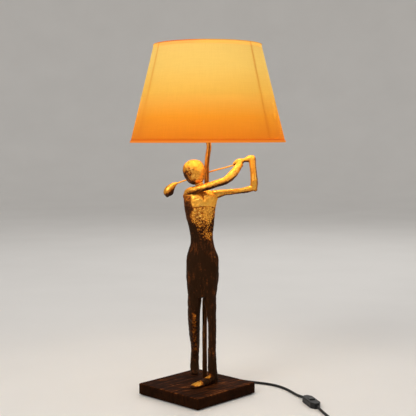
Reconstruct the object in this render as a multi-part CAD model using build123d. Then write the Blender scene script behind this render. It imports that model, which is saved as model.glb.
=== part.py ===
from build123d import *
import math
import os

os.makedirs("parts", exist_ok=True)

# ---------------------------------------------------------------------------
# Figural table lamp. Millimetres, +Z up. The origin is on the table, below the
# axis of the shade and lampholder. -Y is the side the figure faces.
# ---------------------------------------------------------------------------

# base slab (a square, corner to the front)
BASE_SIDE = 160.0
BASE_CX, BASE_CY = -23.0, -30.0
BASE_Z0, BASE_Z1 = 2.0, 22.8
BASE_EDGE_R = 2.0
PAD_R, PAD_T, PAD_OFF = 9.0, 2.0, 92.0

# pole
POLE_R, POLE_BORE_R = 4.5, 3.0
POLE_FOOT = (-7.5, 0.0)
POLE_THREAD_R = 4.0
POLE_TOP_Z = 501.0

# cable channel in the base and strain-relief bush
CH_Z, CH_R = 7.5, 3.6
BUSH_OUT = 20.0
CORD_R = 2.5

# lampholder (40 mm class, 27 mm lamp thread)
HOLD_FLANGE_Z = 539.0
THREAD_OUT_R = 19.7
HOLD_TOP_Z = 563.0

# lamp bulb, 60 mm globe, 105 mm long
BULB_TIP_Z = 540.7
BULB_LEN = 105.0
BULB_R = 30.0
CAP_R = 13.2

# shade, a cone frustum
SH_R0, SH_Z0 = 150.0, 486.4
SH_R1, SH_Z1 = 103.5, 673.2
SH_T = 1.2
STRUT_AZ = (49.0, -62.0, 173.5)      # measured from the viewing side, to the right
WIRE_R = 1.5
STRUT_R = 1.2
FIT_Z = 539.1

# inline switch
SW_C = (188.5, -107.5)
SW_ANG = -76.0
SW_L, SW_W, SW_H = 58.0, 20.0, 11.0
ROCK_DEG = 7.0                       # either way of level

# coil of the put-away lead
COIL_C = (177.0, -276.0)
COIL_TURNS_R = (25.0, 30.0, 35.0)

# ---------------------------------------------------------------------------
# helpers
# ---------------------------------------------------------------------------


def cyl(x, y, z0, z1, r):
    return Pos(x, y, (z0 + z1) / 2) * Cylinder(r, z1 - z0)


def rod(p, q, r):
    a, b = Vector(*p), Vector(*q)
    d = b - a
    pl = Plane(origin=a, z_dir=d.normalized())
    return pl * Cylinder(r, d.length, align=(Align.CENTER, Align.CENTER, Align.MIN))


def hexagon(x, y, z0, z1, af):
    return Pos(x, y, z0) * extrude(RegularPolygon(af / 2, 6, major_radius=False), z1 - z0)


def lathe(profile):
    """Solid of revolution about Z from a closed (r, z) polygon."""
    pts = [(r, 0, z) for r, z in profile]
    face = make_face(Polyline(*pts, close=True))
    return revolve(face, Axis.Z)


def arc_radii(pts):
    """0.45 of the shorter run over the tangent of half the turn, per corner."""
    v = [Vector(*p) for p in pts]
    out = []
    for i in range(1, len(v) - 1):
        a, b = v[i] - v[i - 1], v[i + 1] - v[i]
        turn = math.radians(a.get_angle(b))
        out.append(0.45 * min(a.length, b.length) / math.tan(turn / 2))
    return out


def route(pts):
    return FilletPolyline(*[tuple(p) for p in pts], radius=arc_radii(pts))


def tube(pts, r, name=None):
    path = route(pts)
    sec = Plane(origin=path @ 0, z_dir=path % 0) * Circle(r)
    s = sweep(sec, path=path)
    if name:
        rr = arc_radii(pts)
        print(name, "length %.1f" % path.length, "radii", [round(x, 1) for x in rr],
              "volume / (section x length) = %.4f" % (s.volume / (math.pi * r * r * path.length)))
    return s


def station_loft(st):
    """Loft through ellipses (x, y, z, half width, half depth) along a limb."""
    secs = []
    n = len(st)
    for i, s in enumerate(st):
        a = Vector(*st[max(i - 1, 0)][:3])
        b = Vector(*st[min(i + 1, n - 1)][:3])
        t = (b - a).normalized()
        ref = Vector(1, 0, 0) if abs(t.X) < 0.75 else Vector(0, 0, 1)
        x = (ref - t * t.dot(ref)).normalized()
        secs.append(Plane(origin=Vector(*s[:3]), x_dir=x, z_dir=t) * Ellipse(s[3], s[4]))
    return loft(secs)


def ball(p, r):
    return Pos(*p) * Sphere(r)


def one(shape):
    """The single solid inside a result, whatever wrapper it came in."""
    s = shape.solids()
    assert len(s) == 1, "expected one solid, got %d" % len(s)
    return s[0]


def save(name, *shapes):
    sol = []
    for s in shapes:
        sol += list(s.solids())
    body = sol[0] if len(sol) == 1 else Compound(children=sol)
    export_step(body, os.path.join("parts", name + ".step"))


# ---------------------------------------------------------------------------
# base
# ---------------------------------------------------------------------------
base_loc = Pos(BASE_CX, BASE_CY, 0) * Rot(0, 0, 45)
bh = BASE_Z1 - BASE_Z0
slab = Box(BASE_SIDE, BASE_SIDE, bh, align=(Align.CENTER, Align.CENTER, Align.MIN))
slab = fillet(slab.edges().filter_by(Axis.Z), 2.5)
slab = fillet(slab.faces().sort_by(Axis.Z)[-1].edges(), BASE_EDGE_R)
slab = base_loc * Pos(0, 0, BASE_Z0) * slab

d45 = math.sqrt(0.5)
px, py = POLE_FOOT
exit_xy = (BASE_CX + BASE_SIDE / 2 * d45, BASE_CY + BASE_SIDE / 2 * d45)      # middle of the back right side

slab -= cyl(px, py, 0, 30, POLE_THREAD_R + 0.05)
slab -= cyl(px, py, 0, 14.4, 14.0)
slab -= rod((exit_xy[0] - 46 * d45, exit_xy[1] - 46 * d45, CH_Z), (exit_xy[0] + 5, exit_xy[1] + 5, CH_Z), CH_R)
FOOT_SCREWS = ((8.0, -33.5), (-27.2, 44.5))
for fx, fy in FOOT_SCREWS:
    slab -= cyl(fx, fy, 0, 10.0, 4.5)
    slab -= cyl(fx, fy, 0, 30.0, 2.05)
save("base_slab", one(slab))

pads = [cyl(BASE_CX + dx, BASE_CY + dy, 0, PAD_T, PAD_R)
        for dx, dy in ((PAD_OFF, 0), (-PAD_OFF, 0), (0, PAD_OFF), (0, -PAD_OFF))]
save("base_pads", *pads)

washer = cyl(px, py, 13.0, 14.4, 9.0) - cyl(px, py, 12, 15, POLE_THREAD_R + 0.2)
save("pole_washer", one(washer))
nut = hexagon(px, py, 7.0, 13.0, 13.0) - cyl(px, py, 6, 14, POLE_THREAD_R)
save("pole_nut", one(nut))

screws = []
for fx, fy in FOOT_SCREWS:
    s = cyl(fx, fy, 7.4, 10.0, 3.6) + cyl(fx, fy, 10.0, 30.0, 2.0)
    s -= Pos(fx, fy, 7.4) * Box(5.5, 0.9, 1.8)
    s -= Pos(fx, fy, 7.4) * Box(0.9, 5.5, 1.8)
    screws.append(one(s))
save("figure_screws", *screws)

# strain-relief bush in the side of the slab: flange, tapered sleeve, inner barbs
ex, ey = exit_xy
bush = rod((ex - 8 * d45, ey - 8 * d45, CH_Z), (ex, ey, CH_Z), CH_R)
bush += rod((ex, ey, CH_Z), (ex + 2 * d45, ey + 2 * d45, CH_Z), 6.0)
pl = Plane(origin=(ex + 2 * d45, ey + 2 * d45, CH_Z), z_dir=(d45, d45, 0))
bush += pl * Cone(5.0, 3.3, BUSH_OUT - 2, align=(Align.CENTER, Align.CENTER, Align.MIN))
bush -= rod((ex - 10 * d45, ey - 10 * d45, CH_Z), (ex + 30 * d45, ey + 30 * d45, CH_Z), CORD_R)
save("cord_bush", one(bush))

# ---------------------------------------------------------------------------
# pole: a slightly wavy tube, shouldered and threaded at the foot
# ---------------------------------------------------------------------------
POLE_PTS = [(px, 0, BASE_Z1), (-7.7, 0.3, 110), (-6.6, -0.3, 215), (-3.9, 0.2, 320), (-2.5, 0, 410),
            (-2.3, 0.1, 452), (3.4, 0, 479.5), (0, 0, 490), (0, 0, POLE_TOP_Z)]


def pole_path(pts):
    v = [Vector(*p) for p in pts]
    rr = []
    for i in range(1, len(v) - 1):
        a, b = v[i] - v[i - 1], v[i + 1] - v[i]
        turn = math.radians(a.get_angle(b))
        rr.append(0.45 * min(a.length, b.length) / math.tan(turn / 2))
    return FilletPolyline(*pts, radius=rr)


path = pole_path(POLE_PTS)
pole = sweep(Plane(origin=path @ 0, z_dir=path % 0) * Circle(POLE_R), path=path)
bore = sweep(Plane(origin=path @ 0, z_dir=path % 0) * Circle(POLE_BORE_R), path=path)
pole = pole - bore
foot = cyl(px, py, 6.4, BASE_Z1 + 0.1, POLE_THREAD_R) - cyl(px, py, 0, 30, POLE_BORE_R - 0.5)
pole = pole + foot
save("pole_tube", one(pole))

# coupling bush brazed on the pole, with the lampholder's hollow stud above it
nip = cyl(0, 0, 494.6, 503.0, 6.5) + cyl(0, 0, 503.0, 512.0, 5.0)
nip -= cyl(0, 0, 490.0, POLE_TOP_Z, POLE_R)
nip -= cyl(0, 0, 490.0, 520.0, 3.3)
save("holder_stud", one(nip))

# the lead inside: two-core wire down the pole, then the jacketed cord in the channel
lead_pts = [(0, 0, 520), (0, 0, 490), (3.4, 0, 479.5), (-2.3, 0.1, 452), (-2.5, 0, 410), (-3.9, 0.2, 320),
            (-6.6, -0.3, 215), (-7.7, 0.3, 110), (px, 0, 18), (px + 0.02, 0.02, 4.5),
            (0.5, -4.0, 4.8), (exit_xy[0] - 26.4, exit_xy[1] - 26.4, CH_Z), (exit_xy[0] - 21.0, exit_xy[1] - 21.0, CH_Z)]
lv = [Vector(*p) for p in lead_pts]
lr = []


def v_low(p):
    """The turn out of the foot of the pole, tight because the wires are thin."""
    return p.Z < 4.6


for i in range(1, len(lv) - 1):
    a, b = lv[i] - lv[i - 1], lv[i + 1] - lv[i]
    turn = math.radians(a.get_angle(b))
    lr.append(min(0.45 * min(a.length, b.length) / math.tan(turn / 2), 2.2 if v_low(lv[i]) else 1e9))
lpath = FilletPolyline(*lead_pts, radius=lr)
lead = sweep(Plane(origin=lpath @ 0, z_dir=lpath % 0) * Circle(1.9), path=lpath)
end_xy = (ex + BUSH_OUT * d45, ey + BUSH_OUT * d45)
lead += rod((exit_xy[0] - 22.0, exit_xy[1] - 22.0, CH_Z), (end_xy[0], end_xy[1], CH_Z), CORD_R - 0.05)
save("lead_internal", one(lead))

# ---------------------------------------------------------------------------
# lampholder
# ---------------------------------------------------------------------------
cap = lathe([(5.05, 503.0), (11.0, 503.0), (16.5, 507.0), (19.0, 514.0), (19.4, 526.0),
             (17.8, 526.0), (17.4, 515.0), (15.4, 509.0), (10.6, 505.2), (5.05, 505.2)])
save("holder_cap", one(cap))

locknut = hexagon(0, 0, 505.2, 508.6, 13.5) - cyl(0, 0, 505, 509, 5.0)
save("holder_locknut", one(locknut))

skirt = lathe([(17.2, 526.0), (21.0, 526.0), (21.6, 528.0), (21.6, 536.0), (23.0, 537.4), (23.0, HOLD_FLANGE_Z),
               (THREAD_OUT_R, HOLD_FLANGE_Z), (THREAD_OUT_R, 560.0), (18.6, HOLD_TOP_Z), (15.2, HOLD_TOP_Z),
               (14.2, 561.5), (14.2, 537.2), (17.2, 535.6)])
save("holder_skirt", one(skirt))

insert = cyl(0, 0, 526.0, 534.6, 16.8) - cyl(5.5, 9.0, 520, 540, 2.1) - cyl(-5.5, -9.0, 520, 540, 2.1)
insert -= cyl(0, 0, 520, 531, 3.0)
insert -= cyl(10.5, 0, 529, 540, 1.55) + cyl(-10.5, 0, 529, 540, 1.55)
insert += cyl(0, 0, 534.6, 538.0, 6.0)
insert -= cyl(0, 0, 525, 545, 1.45)
insert -= cyl(0, 0, 538.0 - 1.5, 545, 2.9)
save("holder_insert", one(insert))

cc = cyl(0, 0, 531.0, 539.6, 1.4) + cyl(0, 0, 539.6, 540.4, 3.6)
save("holder_centre_contact", one(cc))

strips = []
for sg in (1, -1):
    st = Pos(sg * 13.65, 0, 544.6) * Box(0.6, 4.0, 20.0)
    st += Pos(sg * 11.1, 0, 535.1) * Box(5.7, 4.0, 1.0)
    st -= cyl(sg * 10.5, 0, 530, 540, 1.5)
    strips.append(one(st))
save("holder_side_contacts", *strips)

tscrews = []
for sg in (1, -1):
    t = cyl(sg * 10.5, 0, 529.2, 534.6, 1.5)
    t = t + cyl(sg * 10.5, 0, 535.6, 537.0, 2.4) + cyl(sg * 10.5, 0, 534.6, 535.6, 1.5)
    t -= Pos(sg * 10.5, 0, 537.0) * Box(5.2, 0.7, 1.2)
    tscrews.append(one(t))
strips2 = []
save("holder_terminal_screws", *tscrews)

# clamp ring on the outer thread
ringpts = [(THREAD_OUT_R + 0.1, 541.4), (26.5, 541.4), (26.5, 543.2), (24.2, 544.2), (23.6, 549.0), (THREAD_OUT_R + 0.1, 549.0)]
cring = lathe(ringpts)
for k in range(12):
    a = math.radians(30 * k)
    cring -= cyl(25.2 * math.cos(a), 25.2 * math.sin(a), 543.9, 552.0, 1.1)
save("clamp_ring", one(cring))

# ---------------------------------------------------------------------------
# bulb
# ---------------------------------------------------------------------------
zt = BULB_TIP_Z
zc = zt + BULB_LEN - BULB_R
scap = lathe([(3.6, zt + 4.6), (6.6, zt + 4.6), (CAP_R - 2.0, zt + 7.0), (CAP_R, zt + 8.6), (CAP_R, zt + 25.0),
              (CAP_R - 0.6, zt + 26.5), (CAP_R - 1.2, zt + 26.5), (CAP_R - 1.2, zt + 8.9),
              (CAP_R - 2.7, zt + 7.9), (6.4, zt + 5.6), (3.6, zt + 5.6)])
save("bulb_screw_cap", one(scap))
insul = lathe([(0, zt + 1.6), (3.4, zt + 1.6), (6.4, zt + 4.6), (0, zt + 4.6)])
save("bulb_insulator", one(insul))
tip = lathe([(0, zt), (2.2, zt), (3.2, zt + 0.8), (3.4, zt + 1.6), (0, zt + 1.6)])
save("bulb_tip_contact", one(tip))


def globe_outline(off):
    """Half outline of the glass, (r, z), offset inwards."""
    pts = []
    r = BULB_R - off
    for k in range(0, 25):
        a = math.radians(90 - k * 128 / 24)
        pts.append((r * math.cos(a), zc + r * math.sin(a)))
    return pts


a_end = math.radians(90 - 128)
nx, nz = BULB_R * math.cos(a_end), zc + BULB_R * math.sin(a_end)


def globe_face(off, z_low, neck_r):
    arc = globe_outline(off)
    top, last = arc[0], arc[-1]
    mid = arc[12]
    with BuildSketch(Plane.XZ) as sk:
        with BuildLine():
            l1 = ThreePointArc(top, mid, last)
            tx, tz = -math.sin(-a_end), -math.cos(a_end)
            l2 = Spline(last, (neck_r, z_low + 6), (neck_r, z_low), tangents=[(math.sin(a_end), -math.cos(a_end)), (0, -1)])
            l3 = Line((neck_r, z_low), (0, z_low))
            l4 = Line((0, z_low), top)
        make_face()
    return sk.sketch


outer = revolve(globe_face(0.0, zt + 24.0, CAP_R - 1.3), Axis.Z)
inner = revolve(globe_face(0.8, zt + 23.0, CAP_R - 2.1), Axis.Z)
globe = outer - inner
save("bulb_globe", one(globe))

# ---------------------------------------------------------------------------
# shade
# ---------------------------------------------------------------------------
slope = (SH_R0 - SH_R1) / (SH_Z1 - SH_Z0)


def r_out(z):
    return SH_R0 - slope * (z - SH_Z0)


tw = SH_T * math.sqrt(1 + slope * slope)
cover = lathe([(SH_R0 - tw, SH_Z0), (SH_R0, SH_Z0), (SH_R1, SH_Z1), (SH_R1 - tw, SH_Z1)])
save("shade_cover", one(cover))

# turned hem tapes on the outside of both rims
hb0, hb1 = SH_Z0, SH_Z0 + 4.5
hem_b = lathe([(r_out(hb0), hb0), (r_out(hb0) + 0.45, hb0), (r_out(hb1) + 0.45, hb1), (r_out(hb1), hb1)])
ht0, ht1 = SH_Z1 - 4.5, SH_Z1
hem_t = lathe([(r_out(ht0), ht0), (r_out(ht0) + 0.45, ht0), (r_out(ht1) + 0.45, ht1), (r_out(ht1), ht1)])
save("shade_hem_bottom", one(hem_b))
save("shade_hem_top", one(hem_t))

zb, zt2 = SH_Z0 + WIRE_R + 0.3, SH_Z1 - WIRE_R - 0.3
rb = r_out(zb) - tw - WIRE_R - 0.05
rt = r_out(zt2) - tw - WIRE_R - 0.05
save("shade_ring_bottom", one(Pos(0, 0, zb) * Torus(rb, WIRE_R)))
save("shade_ring_top", one(Pos(0, 0, zt2) * Torus(rt, WIRE_R)))


def strut_xy(az, z):
    a = math.radians(az)
    r = r_out(z) - tw - STRUT_R - 0.05
    return (r * math.sin(a), -r * math.cos(a))


struts = []
for az in STRUT_AZ:
    p = strut_xy(az, zb)
    q = strut_xy(az, zt2)
    struts.append(one(rod((p[0], p[1], zb), (q[0], q[1], zt2), STRUT_R)))
save("shade_struts", *struts)

fit = cyl(0, 0, FIT_Z, FIT_Z + 2.0, 28.0) - cyl(0, 0, 530, 550, 20.2)
for az in STRUT_AZ:
    q = strut_xy(az, FIT_Z + 1.0)
    L = math.hypot(*q)
    s = 27.0 / L
    fit += rod((q[0] * s, q[1] * s, FIT_Z + 1.6), (q[0], q[1], FIT_Z + 1.6), 1.5)
save("shade_fitter", one(fit))

# ---------------------------------------------------------------------------
# figure: one casting from feet to neck, with head, arms and club fixed to it
# ---------------------------------------------------------------------------
TORSO = [  # x, y, z, half width, half depth
    (-12.3, -23.5, 192, 27.5, 14.0),
    (-12.2, -24.0, 205, 28.9, 15.8),
    (-11.6, -24.5, 229, 31.0, 17.5),
    (-11.5, -25.0, 250, 31.3, 18.0),
    (-11.6, -25.0, 266, 30.6, 17.5),
    (-12.2, -25.0, 283, 25.2, 15.5),
    (-12.3, -25.0, 299, 21.4, 14.0),
    (-13.2, -25.0, 314, 22.3, 14.2),
    (-14.0, -25.5, 330, 24.8, 15.3),
    (-15.3, -26.0, 345, 27.4, 16.6),
    (-15.9, -26.5, 361, 29.7, 17.8),
    (-15.0, -26.0, 376, 32.0, 17.4),
    (-15.0, -25.5, 386, 31.0, 14.5),
    (-15.5, -25.0, 393, 24.0, 10.5),
]
torso = loft([Plane(origin=(x, y, z), x_dir=(1, 0, 0), z_dir=(0, 0, 1)) * Ellipse(a, b)
              for x, y, z, a, b in TORSO])

LEG_TRAIL = [
    (-26.0, -24.0, 208, 13.5, 13.5), (-27.0, -23.5, 186, 13.2, 13.2), (-28.0, -21.5, 166, 12.0, 12.6),
    (-28.2, -14.0, 149, 11.6, 12.0), (-27.9, 4.0, 128, 11.3, 10.9), (-26.9, 26.0, 102, 10.0, 9.6),
    (-25.8, 45.0, 78, 8.6, 8.5), (-26.3, 54.0, 60, 8.3, 8.9), (-27.2, 51.0, 42, 8.5, 7.9),
    (-27.0, 44.0, 30, 8.9, 6.3), (-26.6, 36.0, 26.2, 8.7, 4.6), (-26.5, 30.5, 24.6, 6.8, 3.0)]
LEG_FRONT = [
    (1.0, -24.0, 208, 14.0, 14.0), (3.0, -26.0, 183, 12.0, 12.8), (5.0, -28.5, 162, 9.6, 11.4),
    (6.2, -30.5, 140, 8.3, 10.4), (6.5, -32.0, 115, 7.7, 9.6), (6.4, -33.0, 90, 7.7, 9.0),
    (6.2, -33.5, 65, 8.2, 8.8), (7.2, -33.5, 48, 8.8, 9.2), (8.5, -33.0, 34, 8.4, 9.2), (9.0, -32.8, 22, 8.2, 9.0)]
FOOT_FRONT = [  # heel to toe along the sole, half width, half height
    (15.2, -27.6, 29.0, 4.5, 5.0), (11.5, -31.0, 30.0, 7.8, 8.6), (3.0, -38.6, 31.0, 8.2, 8.6),
    (-7.0, -47.6, 29.0, 8.6, 7.2), (-18.0, -57.4, 26.8, 9.6, 5.6), (-27.5, -65.8, 25.6, 8.8, 4.2),
    (-33.2, -70.9, 24.8, 5.0, 2.8)]
NECK = [(-15.0, -25.0, 384, 11.5, 9.5), (-16.0, -25.5, 396, 8.6, 8.2), (-17.5, -26.5, 410, 7.8, 7.8)]

leg_t = loft([Plane(origin=Vector(*s[:3]), x_dir=(1, 0, 0),
                    z_dir=(Vector(*LEG_TRAIL[min(i + 1, 11)][:3]) - Vector(*LEG_TRAIL[max(i - 1, 0)][:3])).normalized())
              * Ellipse(s[3], s[4]) for i, s in enumerate(LEG_TRAIL)])
leg_f = station_loft(LEG_FRONT)


def foot_loft(st):
    d = (Vector(*st[-1][:3]) - Vector(*st[0][:3]))
    d = Vector(d.X, d.Y, 0).normalized()
    side = Vector(-d.Y, d.X, 0)
    return loft([Plane(origin=Vector(*s[:3]), x_dir=side, z_dir=d) * Ellipse(s[3], s[4]) for s in st])


foot_f = foot_loft(FOOT_FRONT)
neck = station_loft(NECK)
body = torso + leg_t + leg_f + foot_f + neck
body -= Pos(-10, 0, BASE_Z1 - 20) * Box(200, 300, 40)      # flat soles on the slab
for fx, fy in FOOT_SCREWS:
    body -= cyl(fx, fy, 10, 30.0, 2.0)

# egg-shaped head, tilted
chin, crown = Vector(-19.6, -27.2, 406.2), Vector(-33.0, -23.0, 453.8)
hl = (crown - chin).length
egg_pts = [(0, 0), (9.5, 2.6), (16.3, 9.5), (20.2, 19.0), (21.3, 29.0), (18.6, 39.5), (11.4, 46.2), (0, hl)]
with BuildSketch(Plane.XZ) as sk:
    with BuildLine():
        Spline(*egg_pts, tangents=[(1, 0), (-1, 0)])
        Line((0, hl), (0, 0))
    make_face()
egg = revolve(sk.sketch, Axis.Z)
head = Plane(origin=chin, x_dir=(1, 0, 0), z_dir=(crown - chin).normalized()) * egg

ARM_R = [(-38.1, -26.5, 390.0, 8.0), (-32.0, -33.0, 394.6, 7.4), (-24.4, -38.0, 397.0, 6.7),
         (-15.9, -41.5, 399.5, 6.4), (-6.5, -44.0, 402.0, 6.4), (2.9, -46.0, 405.1, 6.5), (12.3, -47.5, 408.2, 6.4),
         (22.3, -48.0, 411.4, 6.5), (31.8, -46.5, 414.3, 7.0)]
FORE_R = [(31.8, -46.5, 414.3, 7.0), (40.6, -40.5, 420.6, 7.4), (48.5, -33.0, 428.2, 7.4), (55.3, -24.0, 436.9, 6.9),
          (61.3, -15.5, 444.4, 6.1)]
FIST_R = [(50.0, -10.5, 444.9, 2.6), (53.8, -11.0, 446.7, 4.4), (59.6, -12.0, 449.0, 5.8), (65.7, -12.6, 450.7, 4.8)]
ARM_L = [(10.0, -24.5, 386.2, 8.8), (21.5, -24.2, 388.8, 7.1), (32.1, -24.0, 390.9, 5.4), (42.6, -24.0, 391.9, 4.9),
         (55.0, -24.2, 392.9, 4.8), (68.5, -24.0, 394.9, 5.0), (79.0, -23.4, 397.3, 5.4), (87.3, -23.0, 400.0, 5.9)]
FORE_L = [(87.3, -23.0, 400.0, 6.3), (88.0, -21.8, 410.6, 6.8), (87.3, -19.6, 424.0, 6.1), (86.2, -17.0, 437.3, 5.8),
          (85.2, -14.8, 447.8, 6.1), (84.7, -13.5, 455.4, 6.3)]
HAND_L = [(84.7, -13.5, 455.6, 6.3), (79.7, -13.1, 454.9, 5.9), (74.9, -12.8, 453.6, 4.6), (69.9, -12.5, 452.4, 3.6),
          (66.0, -12.4, 451.4, 3.2)]


def limb(st):
    return station_loft([(x, y, z, r, r) for x, y, z, r in st])


arm_r = limb(ARM_R) + ball(ARM_R[0][:3], 8.3) + ball(ARM_R[-1][:3], 7.4) + limb(FORE_R) + ball(FORE_R[-1][:3], 6.4) \
    + limb(FIST_R) + ball(FIST_R[-1][:3], 5.1)
arm_l = limb(ARM_L) + ball(ARM_L[0][:3], 9.1) + ball(ARM_L[-1][:3], 6.6) + limb(FORE_L) + ball(FORE_L[-1][:3], 6.6) \
    + limb(HAND_L) + ball(HAND_L[-1][:3], 3.5)

SHAFT = [(61.5, -12.6, 446.3), (36.7, -7.0, 438.5), (15.6, -0.5, 433.2), (-3.6, 7.2, 427.2), (-23.0, 11.5, 420.1),
         (-43.5, 15.2, 412.6), (-62.5, 18.6, 406.2)]
shaft = tube(SHAFT, 1.4, "club shaft")
HEAD_ST = [(-60.2, 18.2, 407.1, 2.5, 2.5), (-63.4, 19.0, 405.3, 3.8, 3.6), (-67.7, 20.0, 402.3, 5.8, 5.4),
           (-72.1, 21.4, 397.7, 8.0, 7.4), (-75.4, 22.6, 393.0, 9.7, 9.0), (-77.7, 23.6, 388.4, 9.7, 9.0),
           (-79.1, 24.4, 384.2, 7.3, 6.8), (-79.7, 25.0, 381.0, 3.3, 3.1)]
club = station_loft(HEAD_ST)

body = one(body)
head = one(head)
body = one(body - head)
arm_r = one(one(arm_r) - body - head - shaft)
arm_l = one(one(arm_l) - body - arm_r - shaft)
club = one(one(club) - shaft)
save("figure_body", body)
save("figure_head", head)
save("figure_arm_right", arm_r)
save("figure_arm_left", arm_l)
save("club_shaft", one(shaft))
save("club_head", club)

# ---------------------------------------------------------------------------
# mains lead on the table
# ---------------------------------------------------------------------------
A0 = (end_xy[0], end_xy[1], CH_Z)
su, sv = math.cos(math.radians(SW_ANG)), math.sin(math.radians(SW_ANG))
SW_Z = 5.2
sw_far = (SW_C[0] - su * SW_L / 2, SW_C[1] - sv * SW_L / 2, SW_Z)
sw_near = (SW_C[0] + su * SW_L / 2, SW_C[1] + sv * SW_L / 2, SW_Z)
ROUTE_A = [A0, (A0[0] + 11.5, A0[1] + 9.6, 5.8), (74.0, 51.5, 3.2), (91.0, 45.0, 2.6), (107.5, 37.6, 2.5),
           (124.5, 28.0, 2.5), (140.5, 12.5, 2.5), (152.5, -7.5, 2.5), (161.5, -30.5, 2.5), (170.0, -55.5, 2.6), sw_far]
ROUTE_B = [sw_near, (201.2, -158.6, 2.7), (207.0, -184.0, 2.5), (212.0, -212.0, 2.5), (212.0, -240.0, 2.5)]
save("cord_lamp_side", one(tube(ROUTE_A, CORD_R, "cord lamp side")))
save("cord_plug_side", one(tube(ROUTE_B, CORD_R, "cord plug side")))

cxx, cyy = COIL_C
coil_ring = Pos(cxx, cyy, 5.0) * (Cylinder(COIL_TURNS_R[-1] + CORD_R, 10.0) - Cylinder(COIL_TURNS_R[0] - CORD_R, 12.0))
coil_ring = fillet(coil_ring.edges(), 2.0)
coil = coil_ring + rod((cxx + 35.0, cyy, CORD_R), (212.0, -240.0, CORD_R), CORD_R)
TAIL0 = (152.0, cyy - 35.0, 4.6)
coil += rod((cxx, cyy - 35.0, 7.5), TAIL0, CORD_R)
coil -= Pos(180, -276, -5) * Box(300, 300, 10)
save("cord_coil", one(coil))

tl = Vector(cxx, cyy - 35.0, 7.5) - Vector(*TAIL0)
ROUTE_T = [TAIL0, (128.5, -311.3, 2.7), (98.5, -309.5, 2.5), (69.0, -303.5, 2.5), (41.5, -293.5, 6.85)]
save("cord_tail", one(tube(ROUTE_T, CORD_R, "cord tail")))

# ---------------------------------------------------------------------------
# inline rocker switch (its own axes: u along the cord, then turned into place)
# ---------------------------------------------------------------------------
sw_loc = Pos(SW_C[0], SW_C[1], 0) * Rot(0, 0, SW_ANG)
outline = Polyline((-29, -4.2), (-20, -10), (20, -10), (29, -4.2), (29, 4.2), (20, 10), (-20, 10), (-29, 4.2), close=True)
plan = make_face(outline)
SPLIT = 5.2
lower = extrude(plan, SPLIT)
lower = fillet(lower.edges().filter_by(Axis.Z), 1.5)
upper = Pos(0, 0, SPLIT) * extrude(plan, SW_H - SPLIT)
upper = fillet(upper.edges().filter_by(Axis.Z), 1.5)
upper = fillet(upper.faces().sort_by(Axis.Z)[-1].edges(), 1.6)
lower = chamfer(lower.faces().sort_by(Axis.Z)[0].edges(), 0.6)
cavity_l = Pos(0, 0, 1.6) * Box(36, 16.4, 10, align=(Align.CENTER, Align.CENTER, Align.MIN))
cavity_u = Pos(0, 0, SPLIT - 1) * Box(36, 16.4, SW_H - SPLIT - 0.8, align=(Align.CENTER, Align.CENTER, Align.MIN))
window = Pos(0, 0, 5) * Box(15.8, 9.8, 20, align=(Align.CENTER, Align.CENTER, Align.MIN))
bosses = [(-14.5, 0), (14.5, 0)]
lower = lower - cavity_l
upper = upper - cavity_u - window
for bx, by in bosses:
    lower += cyl(bx, by, 1.0, SPLIT, 2.6)
    upper += cyl(bx, by, SPLIT, SW_H - 1.0, 2.2)
    lower -= cyl(bx, by, -1, 2.2, 2.3)
    lower -= cyl(bx, by, 0, 8, 1.3)
    upper -= cyl(bx, by, 4, SW_H - 3.0, 1.2)
# cord bores in both ends, for the jacket
for sg in (1, -1):
    rb_ = rod((sg * 24.0, 0, SW_Z), (sg * 32.0, 0, SW_Z), CORD_R)
    rc_ = rod((sg * 17.0, 0, SW_Z), (sg * 24.5, 0, SW_Z), 1.8)
    lower = lower - rb_ - rc_
    upper = upper - rb_ - rc_
lower, upper = one(lower), one(upper)
sw_screws = []
for bx, by in bosses:
    s_ = cyl(bx, by, 0.9, 2.2, 2.1) + cyl(bx, by, 2.2, 7.4, 1.2)
    s_ -= Pos(bx, by, 0.9) * Box(3.2, 0.6, 1.0)
    sw_screws.append(one(s_))
# rocker: a shallow V top, turning on a pivot across the body
RZ = 8.2
rk_prof = make_face(Polyline((-6.9, 8.4), (-6.9, 12.7), (0, 11.5), (6.9, 12.7), (6.9, 8.4), (3.2, 6.2), (-3.2, 6.2), close=True))
rk_ = extrude(Plane.XZ * rk_prof, 4.6, both=True)
rk_ = rk_ - Pos(0, 0, RZ) * Rot(90, 0, 0) * Cylinder(1.05, 20)
rk_ = Pos(0, 0, RZ) * Rot(0, -ROCK_DEG, 0) * Pos(0, 0, -RZ) * rk_      # pressed down on the lamp side: on
pivot = Pos(0, 0, RZ) * Rot(90, 0, 0) * Cylinder(1.0, 17.6)
# terminals: two blocks beside the rocker
terms = [Pos(sg * 9.9, 0, 3.6) * Box(3.6, 7.0, 3.6) for sg in (1, -1)]
save("switch_lower_shell", sw_loc * lower)
save("switch_upper_shell", sw_loc * upper)
save("switch_screws", *[sw_loc * s for s in sw_screws])
save("switch_rocker", one(sw_loc * one(rk_)))
save("switch_pivot", one(sw_loc * pivot))
save("switch_terminals", *[one(sw_loc * t) for t in terms])

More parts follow.
